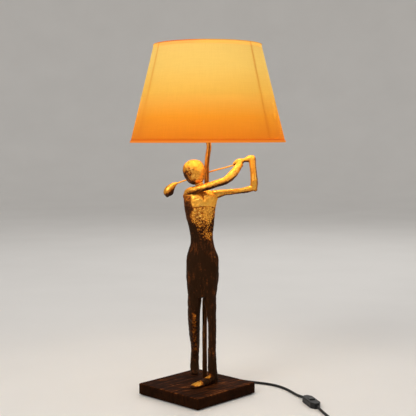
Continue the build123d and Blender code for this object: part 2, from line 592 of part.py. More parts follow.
# ---------------------------------------------------------------------------
# plug: flat two-pin, moulded
# ---------------------------------------------------------------------------
pd = (Vector(*ROUTE_T[-1]) - Vector(*ROUTE_T[-2]))
pang = math.degrees(math.atan2(pd.Y, pd.X))
pl_loc = Pos(ROUTE_T[-1][0], ROUTE_T[-1][1], 6.85) * Rot(0, 0, pang)
PB0, PB1 = 12.0, 47.0
pf = make_face(Polyline((PB0, -6.5), (PB0 + 8, -13.5), (PB1 - 7, -17.6), (PB1, -17.6), (PB1, 17.6),
                        (PB1 - 7, 17.6), (PB0 + 8, 13.5), (PB0, 6.5), close=True))
pbody = Pos(0, 0, -6.85) * extrude(pf, 13.7)
pbody = fillet(pbody.edges().filter_by(Axis.Z), 3.0)
pbody = fillet(pbody.faces().sort_by(Axis.Z)[-1].edges(), 2.5)
pbody = fillet(pbody.faces().sort_by(Axis.Z)[0].edges(), 2.5)
relief = Plane(origin=(0, 0, 0), z_dir=(1, 0, 0)) * Cone(3.6, 5.2, 13.5, align=(Align.CENTER, Align.CENTER, Align.MIN))
pbody += relief
pins = []
for sg in (1, -1):
    pin_ = Plane(origin=(PB1 - 8, sg * 9.3, 0), z_dir=(1, 0, 0)) * Cylinder(2.0, 27.0, align=(Align.CENTER, Align.CENTER, Align.MIN))
    pin_ = fillet(pin_.faces().sort_by(Axis.X)[-1].edges(), 1.2)
    pins.append(one(pin_))
    pbody -= Plane(origin=(PB1 - 8, sg * 9.3, 0), z_dir=(1, 0, 0)) * Cylinder(2.0, 27.0, align=(Align.CENTER, Align.CENTER, Align.MIN))
save("plug_body", one(pl_loc * one(pbody)))
save("plug_pins", *[pl_loc * p for p in pins])

coil_len = 2 * 2 * math.pi * sum(COIL_TURNS_R) + 2 * math.pi * COIL_TURNS_R[-1] / 4
L_A = route(ROUTE_A).length
L_B = route(ROUTE_B).length + abs(-240.0 - cyy) + coil_len + tl.length + route(ROUTE_T).length
print("lead: lamp side %.0f, plug side %.0f, switch %.0f, total %.0f mm" % (L_A, L_B, SW_L, L_A + L_B + SW_L))
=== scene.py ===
import math

import bmesh
import bpy
import numpy as np
from mathutils import Matrix, Vector, noise


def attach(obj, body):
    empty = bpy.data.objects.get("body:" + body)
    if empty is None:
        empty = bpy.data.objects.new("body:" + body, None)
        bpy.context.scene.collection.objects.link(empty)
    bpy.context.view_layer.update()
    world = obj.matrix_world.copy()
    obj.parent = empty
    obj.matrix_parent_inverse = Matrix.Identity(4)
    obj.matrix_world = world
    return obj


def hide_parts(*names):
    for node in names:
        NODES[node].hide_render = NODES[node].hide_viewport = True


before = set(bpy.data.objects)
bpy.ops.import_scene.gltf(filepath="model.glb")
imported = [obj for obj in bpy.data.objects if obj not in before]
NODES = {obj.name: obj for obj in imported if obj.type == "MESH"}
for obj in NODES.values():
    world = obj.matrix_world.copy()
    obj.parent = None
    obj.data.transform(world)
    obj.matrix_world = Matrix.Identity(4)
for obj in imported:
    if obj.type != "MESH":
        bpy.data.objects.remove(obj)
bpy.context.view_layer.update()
MM = 0.001
COL = bpy.context.scene.collection

# ---------------------------------------------------------------------------
# camera, at the photograph's viewing angle
# ---------------------------------------------------------------------------
D, H = 1.770311, 0.492205
PITCH, AZ, PAN, ROLL = map(math.radians, (4.28764, -1.13936, 0.002525, -0.18405))
a = AZ + PAN
fw = Vector((-math.sin(a) * math.cos(PITCH), math.cos(a) * math.cos(PITCH), -math.sin(PITCH)))
right = Vector((math.cos(a), math.sin(a), 0))
up = right.cross(fw)
R = math.cos(ROLL) * right + math.sin(ROLL) * up
U = -math.sin(ROLL) * right + math.cos(ROLL) * up
cd = bpy.data.cameras.new("camera")
cd.sensor_width = 36.0
cd.sensor_height = 36.0
cd.sensor_fit = "AUTO"
cd.lens = 914.470 / 416 * 36
cd.clip_start, cd.clip_end = 0.05, 60
cam = bpy.data.objects.new("camera", cd)
COL.objects.link(cam)
m = Matrix.Identity(4)
for i in range(3):
    m[i][0], m[i][1], m[i][2] = R[i], U[i], -fw[i]
m[0][3], m[1][3], m[2][3] = math.sin(AZ) * D, -math.cos(AZ) * D, H
cam.matrix_world = m
bpy.context.scene.camera = cam

# ---------------------------------------------------------------------------
# small helpers
# ---------------------------------------------------------------------------


def link(name, mesh, mat=None):
    o = bpy.data.objects.new(name, mesh)
    COL.objects.link(o)
    if mat is not None:
        o.data.materials.clear()
        o.data.materials.append(mat)
    return o


def mesh_of(verts, faces, name="m", smooth=True):
    me = bpy.data.meshes.new(name)
    me.from_pydata([tuple(v) for v in verts], [], faces)
    me.validate()
    me.update()
    if smooth:
        me.polygons.foreach_set("use_smooth", [True] * len(me.polygons))
    return me


def get_co(me):
    co = np.zeros(len(me.vertices) * 3, np.float64)
    me.vertices.foreach_get("co", co)
    return co.reshape(-1, 3)


def get_no(me):
    no = np.zeros(len(me.vertices) * 3, np.float64)
    me.vertices.foreach_get("normal", no)
    return no.reshape(-1, 3)


def set_co(me, co):
    me.vertices.foreach_set("co", np.asarray(co, np.float32).ravel())
    me.update()


def attr(me, name, values):
    at = me.attributes.get(name) or me.attributes.new(name, "FLOAT", "POINT")
    at.data.foreach_set("value", np.asarray(values, np.float32))


def attr3(me, name, values):
    at = me.attributes.get(name) or me.attributes.new(name, "FLOAT_VECTOR", "POINT")
    at.data.foreach_set("vector", np.asarray(values, np.float32).ravel())


def baked(o):
    """The object's mesh with its modifiers applied."""
    bpy.context.view_layer.update()
    dg = bpy.context.evaluated_depsgraph_get()
    me = bpy.data.meshes.new_from_object(o.evaluated_get(dg), depsgraph=dg)
    o.modifiers.clear()
    old = o.data
    o.data = me
    if old.users == 0:
        bpy.data.meshes.remove(old)
    return o


def remesh(o, voxel, smooth=0, factor=0.5):
    r = o.modifiers.new("r", "REMESH")
    r.mode = "VOXEL"
    r.voxel_size = voxel
    r.use_smooth_shade = True
    if smooth:
        s = o.modifiers.new("s", "SMOOTH")
        s.factor, s.iterations = factor, smooth
    return baked(o)


def catmull(P, n):
    P = np.asarray(P, float)
    k = len(P)
    out = []
    for i in range(k - 1):
        p0, p1, p2, p3 = P[max(i - 1, 0)], P[i], P[i + 1], P[min(i + 2, k - 1)]
        for j in range(n):
            t = j / n
            out.append(0.5 * (2 * p1 + (p2 - p0) * t + (2 * p0 - 5 * p1 + 4 * p2 - p3) * t * t
                              + (3 * p1 - p0 - 3 * p2 + p3) * t ** 3))
    out.append(P[-1])
    return np.array(out)


def loft(st, mode="free", seg=40, sub=8, power=2.0, round0=0.0, round1=0.0, side=None):
    """Closed skin through elliptical stations (x, y, z, a, b), in mm. Returns verts, faces."""
    S = catmull(st, sub)
    c, ra, rb = S[:, :3], np.maximum(S[:, 3], 0.3), np.maximum(S[:, 4], 0.3)
    t = np.gradient(c, axis=0)
    t /= np.linalg.norm(t, axis=1)[:, None]
    rings = []

    def axes(tt):
        if mode == "flat":
            return np.array([1.0, 0, 0]), np.array([0, 1.0, 0])
        if mode == "foot":
            return side, np.array([0, 0, 1.0])
        ref = np.array([1.0, 0, 0]) if (mode == "x" or abs(tt[0]) < 0.75) else np.array([0, 0, 1.0])
        if mode == "x":
            x = np.array([1.0, 0, 0])
            y = np.cross(tt, x)
            y /= np.linalg.norm(y)
            return x, y
        x = ref - tt * (tt @ ref)
        x /= np.linalg.norm(x)
        return x, np.cross(tt, x)

    th = np.linspace(0, 2 * math.pi, seg, endpoint=False)
    cx = np.sign(np.cos(th)) * np.abs(np.cos(th)) ** (2 / power)
    sy = np.sign(np.sin(th)) * np.abs(np.sin(th)) ** (2 / power)

    def ring(cc, tt, aa, bb):
        x, y = axes(tt)
        rings.append(cc + (cx * aa)[:, None] * x + (sy * bb)[:, None] * y)

    if round0:
        for ph in (80, 60, 40, 20):
            p = math.radians(ph)
            ring(c[0] - t[0] * round0 * math.sin(p), t[0], ra[0] * math.cos(p), rb[0] * math.cos(p))
    for i in range(len(c)):
        ring(c[i], t[i], ra[i], rb[i])
    if round1:
        for ph in (20, 40, 60, 80):
            p = math.radians(ph)
            ring(c[-1] + t[-1] * round1 * math.sin(p), t[-1], ra[-1] * math.cos(p), rb[-1] * math.cos(p))
    n = len(rings)
    V = np.concatenate(rings)
    F = []
    for i in range(n - 1):
        for j in range(seg):
            k = (j + 1) % seg
            F.append((i * seg + j, i * seg + k, (i + 1) * seg + k, (i + 1) * seg + j))
    V = np.vstack([V, rings[0].mean(0), rings[-1].mean(0)])
    b0, b1 = n * seg, n * seg + 1
    for j in range(seg):
        k = (j + 1) % seg
        F.append((b0, k, j))
        F.append((b1, (n - 1) * seg + j, (n - 1) * seg + k))
    return V, F


def ball(p, r, seg=24, rings=16):
    V, F = [], []
    for i in range(1, rings):
        f = math.pi * i / rings
        for j in range(seg):
            q = 2 * math.pi * j / seg
            V.append((p[0] + r * math.sin(f) * math.cos(q), p[1] + r * math.sin(f) * math.sin(q), p[2] + r * math.cos(f)))
    for i in range(rings - 2):
        for j in range(seg):
            k = (j + 1) % seg
            F.append((i * seg + j, (i + 1) * seg + j, (i + 1) * seg + k, i * seg + k))
    V.append((p[0], p[1], p[2] + r))
    V.append((p[0], p[1], p[2] - r))
    top, bot = len(V) - 2, len(V) - 1
    for j in range(seg):
        k = (j + 1) % seg
        F.append((top, j, k))
        F.append((bot, (rings - 2) * seg + k, (rings - 2) * seg + j))
    return np.array(V), F


def combine(name, parts):
    """One object from several closed skins given in mm."""
    V, F, off = [], [], 0
    for v, f in parts:
        V.append(np.asarray(v, float))
        F += [tuple(i + off for i in q) for q in f]
        off += len(v)
    return link(name, mesh_of(np.concatenate(V) * MM, F, name))


def fbm(p, scale, octaves=3, offset=0.0):
    """Fractal noise at each row of p (mm), about -1 to 1."""
    out = np.zeros(len(p))
    s, amp, tot = scale, 1.0, 0.0
    for k in range(octaves):
        q = p / s + offset + 17.3 * k
        out += amp * np.array([noise.noise(Vector(v)) for v in q])
        tot += amp
        s *= 0.5
        amp *= 0.5
    return out / tot * 1.6


def cells(p, scale, offset=0.0):
    """Distance to the nearest cell centre and the gap to the second nearest, in cell sizes."""
    d1 = np.zeros(len(p))
    d2 = np.zeros(len(p))
    for i, v in enumerate(p / scale + offset):
        ds, _ = noise.voronoi(Vector(v))
        d1[i], d2[i] = ds[0], ds[1]
    return d1, d2


def smoothstep(x, a_, b_):
    t = np.clip((x - a_) / (b_ - a_), 0, 1)
    return t * t * (3 - 2 * t)


# ---------------------------------------------------------------------------
# materials
# ---------------------------------------------------------------------------


class Mat:
    """A node material with a Principled shader, built line by line."""

    def __init__(self, name):
        self.m = bpy.data.materials.new(name)
        self.m.use_nodes = True
        self.nt = self.m.node_tree
        self.nt.nodes.clear()
        self.out = self.nt.nodes.new("ShaderNodeOutputMaterial")
        self.p = self.nt.nodes.new("ShaderNodeBsdfPrincipled")
        self.nt.links.new(self.p.outputs[0], self.out.inputs["Surface"])

    def set(self, **kw):
        for k, v in kw.items():
            s = self.p.inputs[k.replace("_", " ")]
            if hasattr(v, "is_output") or isinstance(v, bpy.types.NodeSocket):
                self.nt.links.new(v, s)
            else:
                s.default_value = v if not isinstance(v, tuple) or len(v) == 4 or s.type == "VECTOR" else (*v, 1.0)
        return self

    def node(self, kind, **kw):
        n = self.nt.nodes.new(kind)
        ins = kw.pop("ins", {})
        for k, v in kw.items():
            setattr(n, k, v)
        for k, v in ins.items():
            if isinstance(v, bpy.types.NodeSocket):
                self.nt.links.new(v, n.inputs[k])
            else:
                n.inputs[k].default_value = v
        return n

    def coord(self):
        return self.node("ShaderNodeTexCoord").outputs["Object"]

    def mapped(self, scale=(1, 1, 1), rot=(0, 0, 0), vec=None, loc=(0, 0, 0)):
        return self.node("ShaderNodeMapping", ins={"Vector": vec or self.coord(), "Scale": scale, "Rotation": rot, "Location": loc}).outputs[0]

    def attrib(self, name, vector=False):
        n = self.node("ShaderNodeAttribute", attribute_name=name)
        return n.outputs["Vector"] if vector else n.outputs["Fac"]

    def noise(self, scale, detail=4, rough=0.55, vec=None, dist=0.0):
        return self.node("ShaderNodeTexNoise", ins={"Vector": vec or self.coord(), "Scale": scale, "Detail": detail,
                                                    "Roughness": rough, "Distortion": dist}).outputs["Fac"]

    def voronoi(self, scale, vec=None, feature="F1", rand=1.0):
        return self.node("ShaderNodeTexVoronoi", feature=feature, ins={"Vector": vec or self.coord(), "Scale": scale, "Randomness": rand}).outputs["Distance"]

    def wave(self, scale, vec, dist=0.0, direction="X", profile="SIN"):
        return self.node("ShaderNodeTexWave", bands_direction=direction, wave_profile=profile,
                         ins={"Vector": vec, "Scale": scale, "Distortion": dist}).outputs["Fac"]

    def ramp(self, fac, stops, interp="LINEAR"):
        n = self.node("ShaderNodeValToRGB", ins={"Fac": fac})
        cr = n.color_ramp
        cr.interpolation = interp
        while len(cr.elements) > 1:
            cr.elements.remove(cr.elements[-1])
        cr.elements[0].position = stops[0][0]
        cr.elements[0].color = (*stops[0][1], 1) if isinstance(stops[0][1], tuple) else (stops[0][1],) * 3 + (1,)
        for pos, c in stops[1:]:
            e = cr.elements.new(pos)
            e.color = (*c, 1) if isinstance(c, tuple) else (c, c, c, 1)
        return n.outputs["Color"]

    def math(self, op, a_, b_=0.0, clamp=False):
        n = self.node("ShaderNodeMath", operation=op, use_clamp=clamp)
        for i, v in enumerate((a_, b_)):
            if isinstance(v, bpy.types.NodeSocket):
                self.nt.links.new(v, n.inputs[i])
            else:
                n.inputs[i].default_value = v
        return n.outputs[0]

    def remap(self, v, a0, a1, b0, b1):
        return self.node("ShaderNodeMapRange", ins={"Value": v, "From Min": a0, "From Max": a1, "To Min": b0, "To Max": b1}).outputs["Result"]

    def mix(self, fac, c1, c2, blend="MIX"):
        n = self.nt.nodes.new("ShaderNodeMix")
        n.data_type = "RGBA"
        n.blend_type = blend
        n.clamp_factor = True
        sock = {"Factor": n.inputs[0], "A": n.inputs[6], "B": n.inputs[7]}
        for k, v in (("Factor", fac), ("A", c1), ("B", c2)):
            if isinstance(v, bpy.types.NodeSocket):
                self.nt.links.new(v, sock[k])
            elif k == "Factor":
                sock[k].default_value = v
            else:
                sock[k].default_value = (*v, 1) if len(v) == 3 else v
        return n.outputs[2]

    def bump(self, height, strength=0.3, distance=0.001, normal=None):
        n = self.node("ShaderNodeBump", ins={"Height": height, "Strength": strength, "Distance": distance})
        if normal is not None:
            self.nt.links.new(normal, n.inputs["Normal"])
        return n.outputs[0]


def gold_leaf(name, bright=1.0, fine=1.0):
    """Hand-laid gold over a dark brown ground: bright on the high places, brown in the hollows, darker towards the
    feet; the 'dark' attribute also brings in painted shade and painted highlights.
    """
    k = Mat(name)
    pit = k.attrib("pit")
    dark = k.attrib("dark")
    n1 = k.noise(60, 5, 0.6)
    n2 = k.noise(340, 4, 0.6)
    leaf = k.voronoi(95, feature="DISTANCE_TO_EDGE")
    # how much of the brown ground shows, together with the painted shade and painted highlights carried in 'dark'
    g = k.math("ADD", k.math("MULTIPLY", pit, 0.95), k.math("MULTIPLY", dark, 1.02))
    g = k.math("ADD", g, k.remap(n1, 0.35, 0.7, -0.20, 0.24))
    g = k.math("ADD", g, k.remap(n2, 0.35, 0.7, -0.10, 0.14))
    g = k.math("ADD", g, k.remap(leaf, 0.0, 0.05, 0.10, 0.0))
    gold = k.ramp(n1, [(0.30, (0.86, 0.345, 0.038)), (0.50, (0.97, 0.475, 0.066)), (0.68, (1.0, 0.62, 0.135))])
    mid = k.mix(k.remap(g, 0.12, 0.58, 0.0, 1.0), gold, (0.50, 0.145, 0.014))
    low_ = k.mix(k.remap(g, 0.50, 0.82, 0.0, 1.0), mid, (0.105, 0.028, 0.0065))
    col = k.mix(k.remap(g, 0.78, 1.10, 0.0, 1.0), low_, (0.022, 0.0070, 0.0022))
    met = k.remap(g, 0.3, 1.0, 0.82, 0.20)
    rough = k.math("ADD", k.remap(n2, 0.3, 0.7, 0.30, 0.44), k.remap(g, 0.2, 1.0, 0.0, 0.24))
    h = k.math("ADD", k.math("MULTIPLY", n2, 0.6), k.math("MULTIPLY", k.noise(900, 3, 0.6), 0.35))
    k.set(Base_Color=col, Metallic=met, Roughness=rough, Normal=k.bump(h, 0.35 * fine, 0.0006), Specular_IOR_Level=0.16,
          Specular_Tint=(1.0, 0.72, 0.42))
    return k.m


def base_mat():
    k = Mat("base_antique")
    rel = k.attrib("relief")          # 0 in the grooves, 1 on the ridges
    top = k.attrib("top")
    n1 = k.noise(28, 5, 0.6)
    vec = k.mapped(scale=(14, 210, 60), rot=(0, 0, math.radians(45)))
    grain = k.noise(1.0, 6, 0.62, vec=vec, dist=0.4)
    ridge = k.math("ADD", k.math("MULTIPLY", rel, 0.75), k.remap(grain, 0.35, 0.72, -0.16, 0.36))
    ridge = k.math("ADD", ridge, k.remap(n1, 0.35, 0.65, -0.16, 0.12))
    # painted shade: the slab's sides come out darker than its top
    ridge = k.math("MULTIPLY", ridge, k.remap(top, 0.0, 1.0, 0.58, 1.0))
    col = k.ramp(ridge, [(0.0, (0.010, 0.0032, 0.0012)), (0.34, (0.024, 0.0074, 0.0024)), (0.60, (0.086, 0.024, 0.0062)),
                         (0.80, (0.34, 0.110, 0.028)), (1.0, (0.74, 0.32, 0.09))])
    met = k.remap(ridge, 0.60, 0.95, 0.0, 0.85)
    rough = k.remap(grain, 0.3, 0.7, 0.66, 0.86)
    h = k.math("ADD", grain, k.math("MULTIPLY", k.noise(420, 4, 0.6), 0.35))
    k.set(Base_Color=col, Metallic=met, Roughness=rough, Normal=k.bump(h, 0.4, 0.0008), Specular_IOR_Level=0.04,
          Specular_Tint=(1.0, 0.62, 0.38))
    return k.m


def pole_mat():
    k = Mat("pole_bark_gold")
    rel = k.attrib("relief")
    vec = k.mapped(scale=(260, 260, 22))
    streak = k.noise(1.0, 6, 0.62, vec=vec, dist=0.3)
    n1 = k.noise(30, 4, 0.6)
    r = k.math("ADD", k.math("MULTIPLY", rel, 0.7), k.remap(streak, 0.3, 0.72, -0.10, 0.34))
    r = k.math("ADD", r, k.remap(n1, 0.35, 0.65, -0.10, 0.10))
    col = k.ramp(r, [(0.05, (0.045, 0.016, 0.005)), (0.35, (0.19, 0.060, 0.010)), (0.62, (0.50, 0.190, 0.028)), (0.95, (0.88, 0.48, 0.10))])
    # the pole's colour turns darker towards its foot
    col = k.mix(k.attrib("darker_low"), col, k.ramp(r, [(0.10, (0.020, 0.007, 0.0025)), (0.55, (0.050, 0.016, 0.005)), (0.95, (0.20, 0.075, 0.020))]))
    k.set(Base_Color=col, Metallic=k.remap(r, 0.1, 0.6, 0.25, 0.75), Roughness=k.remap(streak, 0.3, 0.7, 0.36, 0.58),
          Normal=k.bump(streak, 0.4, 0.0006), Specular_IOR_Level=0.3, Specular_Tint=(1.0, 0.66, 0.36))
    return k.m


def fabric_mat(name, hem=False):
    """Cream linen-like cloth with the light behind it, its amber gradient and glow painted by height. 'cloth' holds
    (around, up, share) of each point: on the cover the share of height, on the hems a set level of painted glow.
    """
    k = Mat(name)
    uv = k.attrib("cloth", vector=True)
    sep = k.node("ShaderNodeSeparateXYZ", ins={"Vector": uv})
    around, along, share = sep.outputs[0], sep.outputs[1], sep.outputs[2]
    warp = k.wave(1.0, k.node("ShaderNodeMapping", ins={"Vector": uv, "Scale": (190, 2.0, 0)}).outputs[0], 0.6, "X")
    weft = k.wave(1.0, k.node("ShaderNodeMapping", ins={"Vector": uv, "Scale": (1.4, 190, 0)}).outputs[0], 0.6, "Y")
    slub_v = k.noise(1.0, 4, 0.6, vec=k.node("ShaderNodeMapping", ins={"Vector": uv, "Scale": (520, 26, 0)}).outputs[0])
    slub_h = k.noise(1.0, 4, 0.6, vec=k.node("ShaderNodeMapping", ins={"Vector": uv, "Scale": (20, 460, 0)}).outputs[0])
    cloud = k.noise(1.0, 3, 0.5, vec=k.node("ShaderNodeMapping", ins={"Vector": uv, "Scale": (7, 9, 0)}).outputs[0])
    weave = k.math("MULTIPLY", k.math("ADD", warp, weft), 0.5)
    slub = k.math("MULTIPLY", k.math("ADD", slub_v, slub_h), 0.5)
    tone = k.math("ADD", k.remap(weave, 0, 1, -0.035, 0.035), k.remap(slub, 0.35, 0.65, -0.055, 0.055))
    tone = k.math("ADD", tone, k.remap(cloud, 0.3, 0.7, -0.035, 0.035))
    # base colour darker and more orange towards the lower edge: painted, to keep the lit amber under the room light
    dim = k.ramp(share, [(0.0, (0.34, 0.120, 0.008)), (0.45, (0.42, 0.195, 0.030)), (1.0, (0.46, 0.240, 0.055))])
    pale = k.ramp(share, [(0.0, (0.48, 0.190, 0.015)), (0.45, (0.60, 0.300, 0.055)), (1.0, (0.66, 0.370, 0.105))])
    base = k.mix(k.math("ADD", tone, 0.5), dim, pale)
    # the colour passed through the cloth: cream above, deeper amber towards the lower edge, a painted gradient by
    # height
    lit = k.ramp(share, [(0.0, (0.88, 0.258, 0.007)), (0.25, (0.97, 0.465, 0.026)), (0.50, (1.0, 0.890, 0.260)),
                         (0.74, (1.0, 0.960, 0.390)), (0.90, (1.0, 0.975, 0.410)), (1.0, (1.0, 0.950, 0.390))])
    litt = k.mix(k.math("ADD", k.math("MULTIPLY", tone, 2.0), 0.5), (0.76, 0.70, 0.60), (1.0, 1.0, 1.0))
    lit = k.mix(1.0, lit, litt, "MULTIPLY")
    # painted glow by height, standing for light scattered inside the cloth
    glow = k.ramp(share, [(0.0, (0.95, 0.27, 0.020)), (0.45, (0.95, 0.36, 0.040)), (0.75, (0.76, 0.46, 0.100)), (0.95, (0.76, 0.43, 0.095)), (1.0, (0.72, 0.43, 0.125))])
    glow = k.mix(1.0, glow, litt, "MULTIPLY")
    # painted shadow: darker where an upright wire is glued to the cloth
    wire = k.attrib("wire")
    shade_ = k.mix(wire, (1.0, 1.0, 1.0), (0.90, 0.54, 0.28))
    lit = k.mix(1.0, lit, shade_, "MULTIPLY")
    glow = k.mix(1.0, glow, shade_, "MULTIPLY")
    h = k.math("ADD", k.math("MULTIPLY", weave, 0.6), slub)
    k.set(Base_Color=base, Roughness=0.92, Specular_IOR_Level=0.15, Sheen_Weight=0.03, Sheen_Roughness=0.5,
          Normal=k.bump(h, 0.35, 0.0004), Emission_Color=glow)
    if hem:
        k.set(Emission_Strength=0.85)
    else:
        # painted brighter strip at the top edge, making up for the shadow of the ring
        k.set(Emission_Strength=k.remap(share, 0.955, 0.972, 0.64, 1.95))
    tr = k.node("ShaderNodeBsdfTranslucent", ins={"Color": lit})
    mx = k.node("ShaderNodeMixShader")
    mx.inputs[0].default_value = 0.60 if not hem else 0.55
    k.nt.links.new(k.p.outputs[0], mx.inputs[1])
    k.nt.links.new(tr.outputs[0], mx.inputs[2])
    k.nt.links.new(mx.outputs[0], k.out.inputs["Surface"])
    return k.m


def metal(name, c1, c2, rough=(0.22, 0.36), scale=300, stretch=(1, 1, 1), bump_=0.12):
    k = Mat(name)
    n = k.noise(1.0, 5, 0.6, vec=k.mapped(scale=tuple(scale * s for s in stretch)))
    w = k.noise(35, 3, 0.5)
    k.set(Base_Color=k.mix(k.remap(w, 0.3, 0.7, 0, 1), c1, c2), Metallic=1.0, Roughness=k.remap(n, 0.3, 0.7, *rough),
          Normal=k.bump(n, bump_, 0.0003))
    return k.m


def plastic(name, c, rough=(0.38, 0.52), grain=1500, strength=0.25, vary=0.25, spec=0.5):
    k = Mat(name)
    n = k.noise(grain, 3, 0.6)
    w = k.noise(40, 4, 0.55)
    c2 = tuple(min(1.0, x * (1 + vary) + 0.004) for x in c)
    k.set(Base_Color=k.mix(k.remap(w, 0.35, 0.65, 0, 1), c, c2), Roughness=k.remap(n, 0.3, 0.7, *rough),
          Normal=k.bump(n, strength, 0.0002), Specular_IOR_Level=spec)
    return k.m


def felt_mat():
    k = Mat("felt_pad")
    n = k.noise(2600, 4, 0.7)
    f = k.noise(1.0, 3, 0.6, vec=k.mapped(scale=(500, 2400, 500)))
    k.set(Base_Color=k.mix(n, (0.020, 0.018, 0.017), (0.085, 0.078, 0.072)), Roughness=0.95, Sheen_Weight=0.5,
          Normal=k.bump(k.math("ADD", n, f), 0.7, 0.0006))
    return k.m


def bulb_mat():
    k = Mat("bulb_opal_glass")
    n = k.noise(25, 2, 0.5)
    k.set(Base_Color=k.mix(n, (0.95, 0.93, 0.88), (1.0, 0.98, 0.94)), Roughness=k.remap(n, 0.3, 0.7, 0.08, 0.16),
          Coat_Weight=0.4, Coat_Roughness=0.05, Emission_Color=(1.0, 0.66, 0.30, 1.0), Emission_Strength=5.0)
    return k.m


M = {}
M["gold"] = gold_leaf("figure_gold_leaf")
M["club"] = gold_leaf("club_gold_leaf", fine=0.7)
M["base"] = base_mat()
M["pole"] = pole_mat()
M["fabric"] = fabric_mat("shade_linen")
M["hem"] = fabric_mat("shade_hem_tape", hem=True)
M["wire"] = metal("white_coated_wire", (0.70, 0.68, 0.62), (0.80, 0.78, 0.72), (0.35, 0.5), 500, bump_=0.08)
M["wire"].node_tree.nodes["Principled BSDF"].inputs["Metallic"].default_value = 0.0
M["brass"] = metal("brass_turned", (0.78, 0.53, 0.20), (0.88, 0.64, 0.28), (0.20, 0.34), 900, (0.2, 0.2, 2.5))
M["steel"] = metal("zinc_steel", (0.55, 0.55, 0.54), (0.68, 0.68, 0.66), (0.26, 0.42), 700)
M["nickel"] = metal("nickel_cap", (0.72, 0.70, 0.66), (0.82, 0.80, 0.76), (0.16, 0.30), 700, (0.3, 0.3, 2.0))
M["cord"] = plastic("cord_black_pvc", (0.009, 0.0085, 0.0085), (0.40, 0.56), 900, 0.15, spec=0.22)
M["rubber"] = plastic("black_rubber", (0.016, 0.015, 0.015), (0.5, 0.66), 1400, 0.35)
M["black"] = plastic("black_moulded_plastic", (0.010, 0.0095, 0.0095), (0.38, 0.54), 1900, 0.35, spec=0.25)
M["black_gloss"] = plastic("black_rocker_plastic", (0.009, 0.009, 0.009), (0.20, 0.30), 900, 0.08, spec=0.35)
M["holder"] = plastic("holder_ivory_plastic", (0.78, 0.75, 0.68), (0.30, 0.44), 900, 0.15, 0.05)
M["ceramic"] = plastic("ceramic_white", (0.80, 0.78, 0.73), (0.18, 0.30), 600, 0.1, 0.05)
M["blackglass"] = plastic("black_glass", (0.010, 0.010, 0.012), (0.05, 0.10), 300, 0.03)
M["felt"] = felt_mat()
M["bulb"] = bulb_mat()
M["lead"] = plastic("lead_sheath", (0.05, 0.045, 0.04), (0.4, 0.55), 900, 0.15)

NODE_MAT = {
    "base_slab": "base", "base_pads": "felt", "pole_washer": "steel", "pole_nut": "steel", "figure_screws": "steel",
    "cord_bush": "rubber", "pole_tube": "pole", "holder_stud": "steel", "lead_internal": "lead", "holder_cap": "holder",
    "holder_locknut": "steel", "holder_skirt": "holder", "holder_insert": "ceramic", "holder_centre_contact": "brass",
    "holder_side_contacts": "brass", "holder_terminal_screws": "brass", "figure_body": "gold", "figure_head": "gold",
    "figure_arm_right": "gold", "figure_arm_left": "gold", "club_shaft": "brass", "club_head": "club",
    "cord_lamp_side": "cord", "cord_plug_side": "cord", "cord_coil": "cord", "cord_tail": "cord",
    "switch_lower_shell": "black", "switch_upper_shell": "black", "switch_screws": "steel", "switch_pivot": "black",
    "switch_terminals": "brass", "switch_rocker": "black_gloss", "plug_body": "black", "plug_pins": "brass",
    "shade_cover": "fabric", "shade_hem_bottom": "hem", "shade_hem_top": "hem", "shade_ring_bottom": "wire",
    "shade_ring_top": "wire", "shade_struts": "wire", "shade_fitter": "wire", "clamp_ring": "holder",
    "bulb_globe": "bulb", "bulb_screw_cap": "nickel", "bulb_insulator": "blackglass", "bulb_tip_contact": "brass",
}
for name, o in NODES.items():
    mat = M[NODE_MAT[name]]
    if len(o.material_slots) == 0:
        o.data.materials.append(mat)
    for s in o.material_slots:
        s.material = mat

# ---------------------------------------------------------------------------
# the mains lead
# ---------------------------------------------------------------------------
CORD_R = 2.5


def cord_curve(name, pts):
    cu = bpy.data.curves.new(name, "CURVE")
    cu.dimensions = "3D"
    sp = cu.splines.new("NURBS")
    sp.points.add(len(pts) - 1)
    for q, p in zip(sp.points, pts):
        q.co = (p[0] * MM, p[1] * MM, p[2] * MM, 1.0)
    sp.order_u = 3
    sp.use_endpoint_u = True
    sp.resolution_u = 10
    cu.bevel_depth = CORD_R * MM
    cu.bevel_resolution = 5
    cu.use_fill_caps = True
    o = bpy.data.objects.new(name, cu)
    COL.objects.link(o)
    cu.materials.append(M["cord"])
    return o


LAMP_ROUTE = [(47.712, 40.711, 7.5), (59.212, 50.311, 5.8), (74.0, 51.5, 3.2), (91.0, 45.0, 2.6), (107.5, 37.6, 2.5),
              (124.5, 28.0, 2.5), (140.5, 12.5, 2.5), (152.5, -7.5, 2.5), (161.5, -30.5, 2.5), (170.0, -55.5, 2.6),
              (181.484, -79.361, 5.2)]
PLUG_ROUTE = [(195.516, -135.639, 5.2), (201.2, -158.6, 2.7), (207.0, -184.0, 2.5), (212.0, -212.0, 2.5), (212.0, -240.0, 2.5)]
COIL_C = (177.0, -276.0)
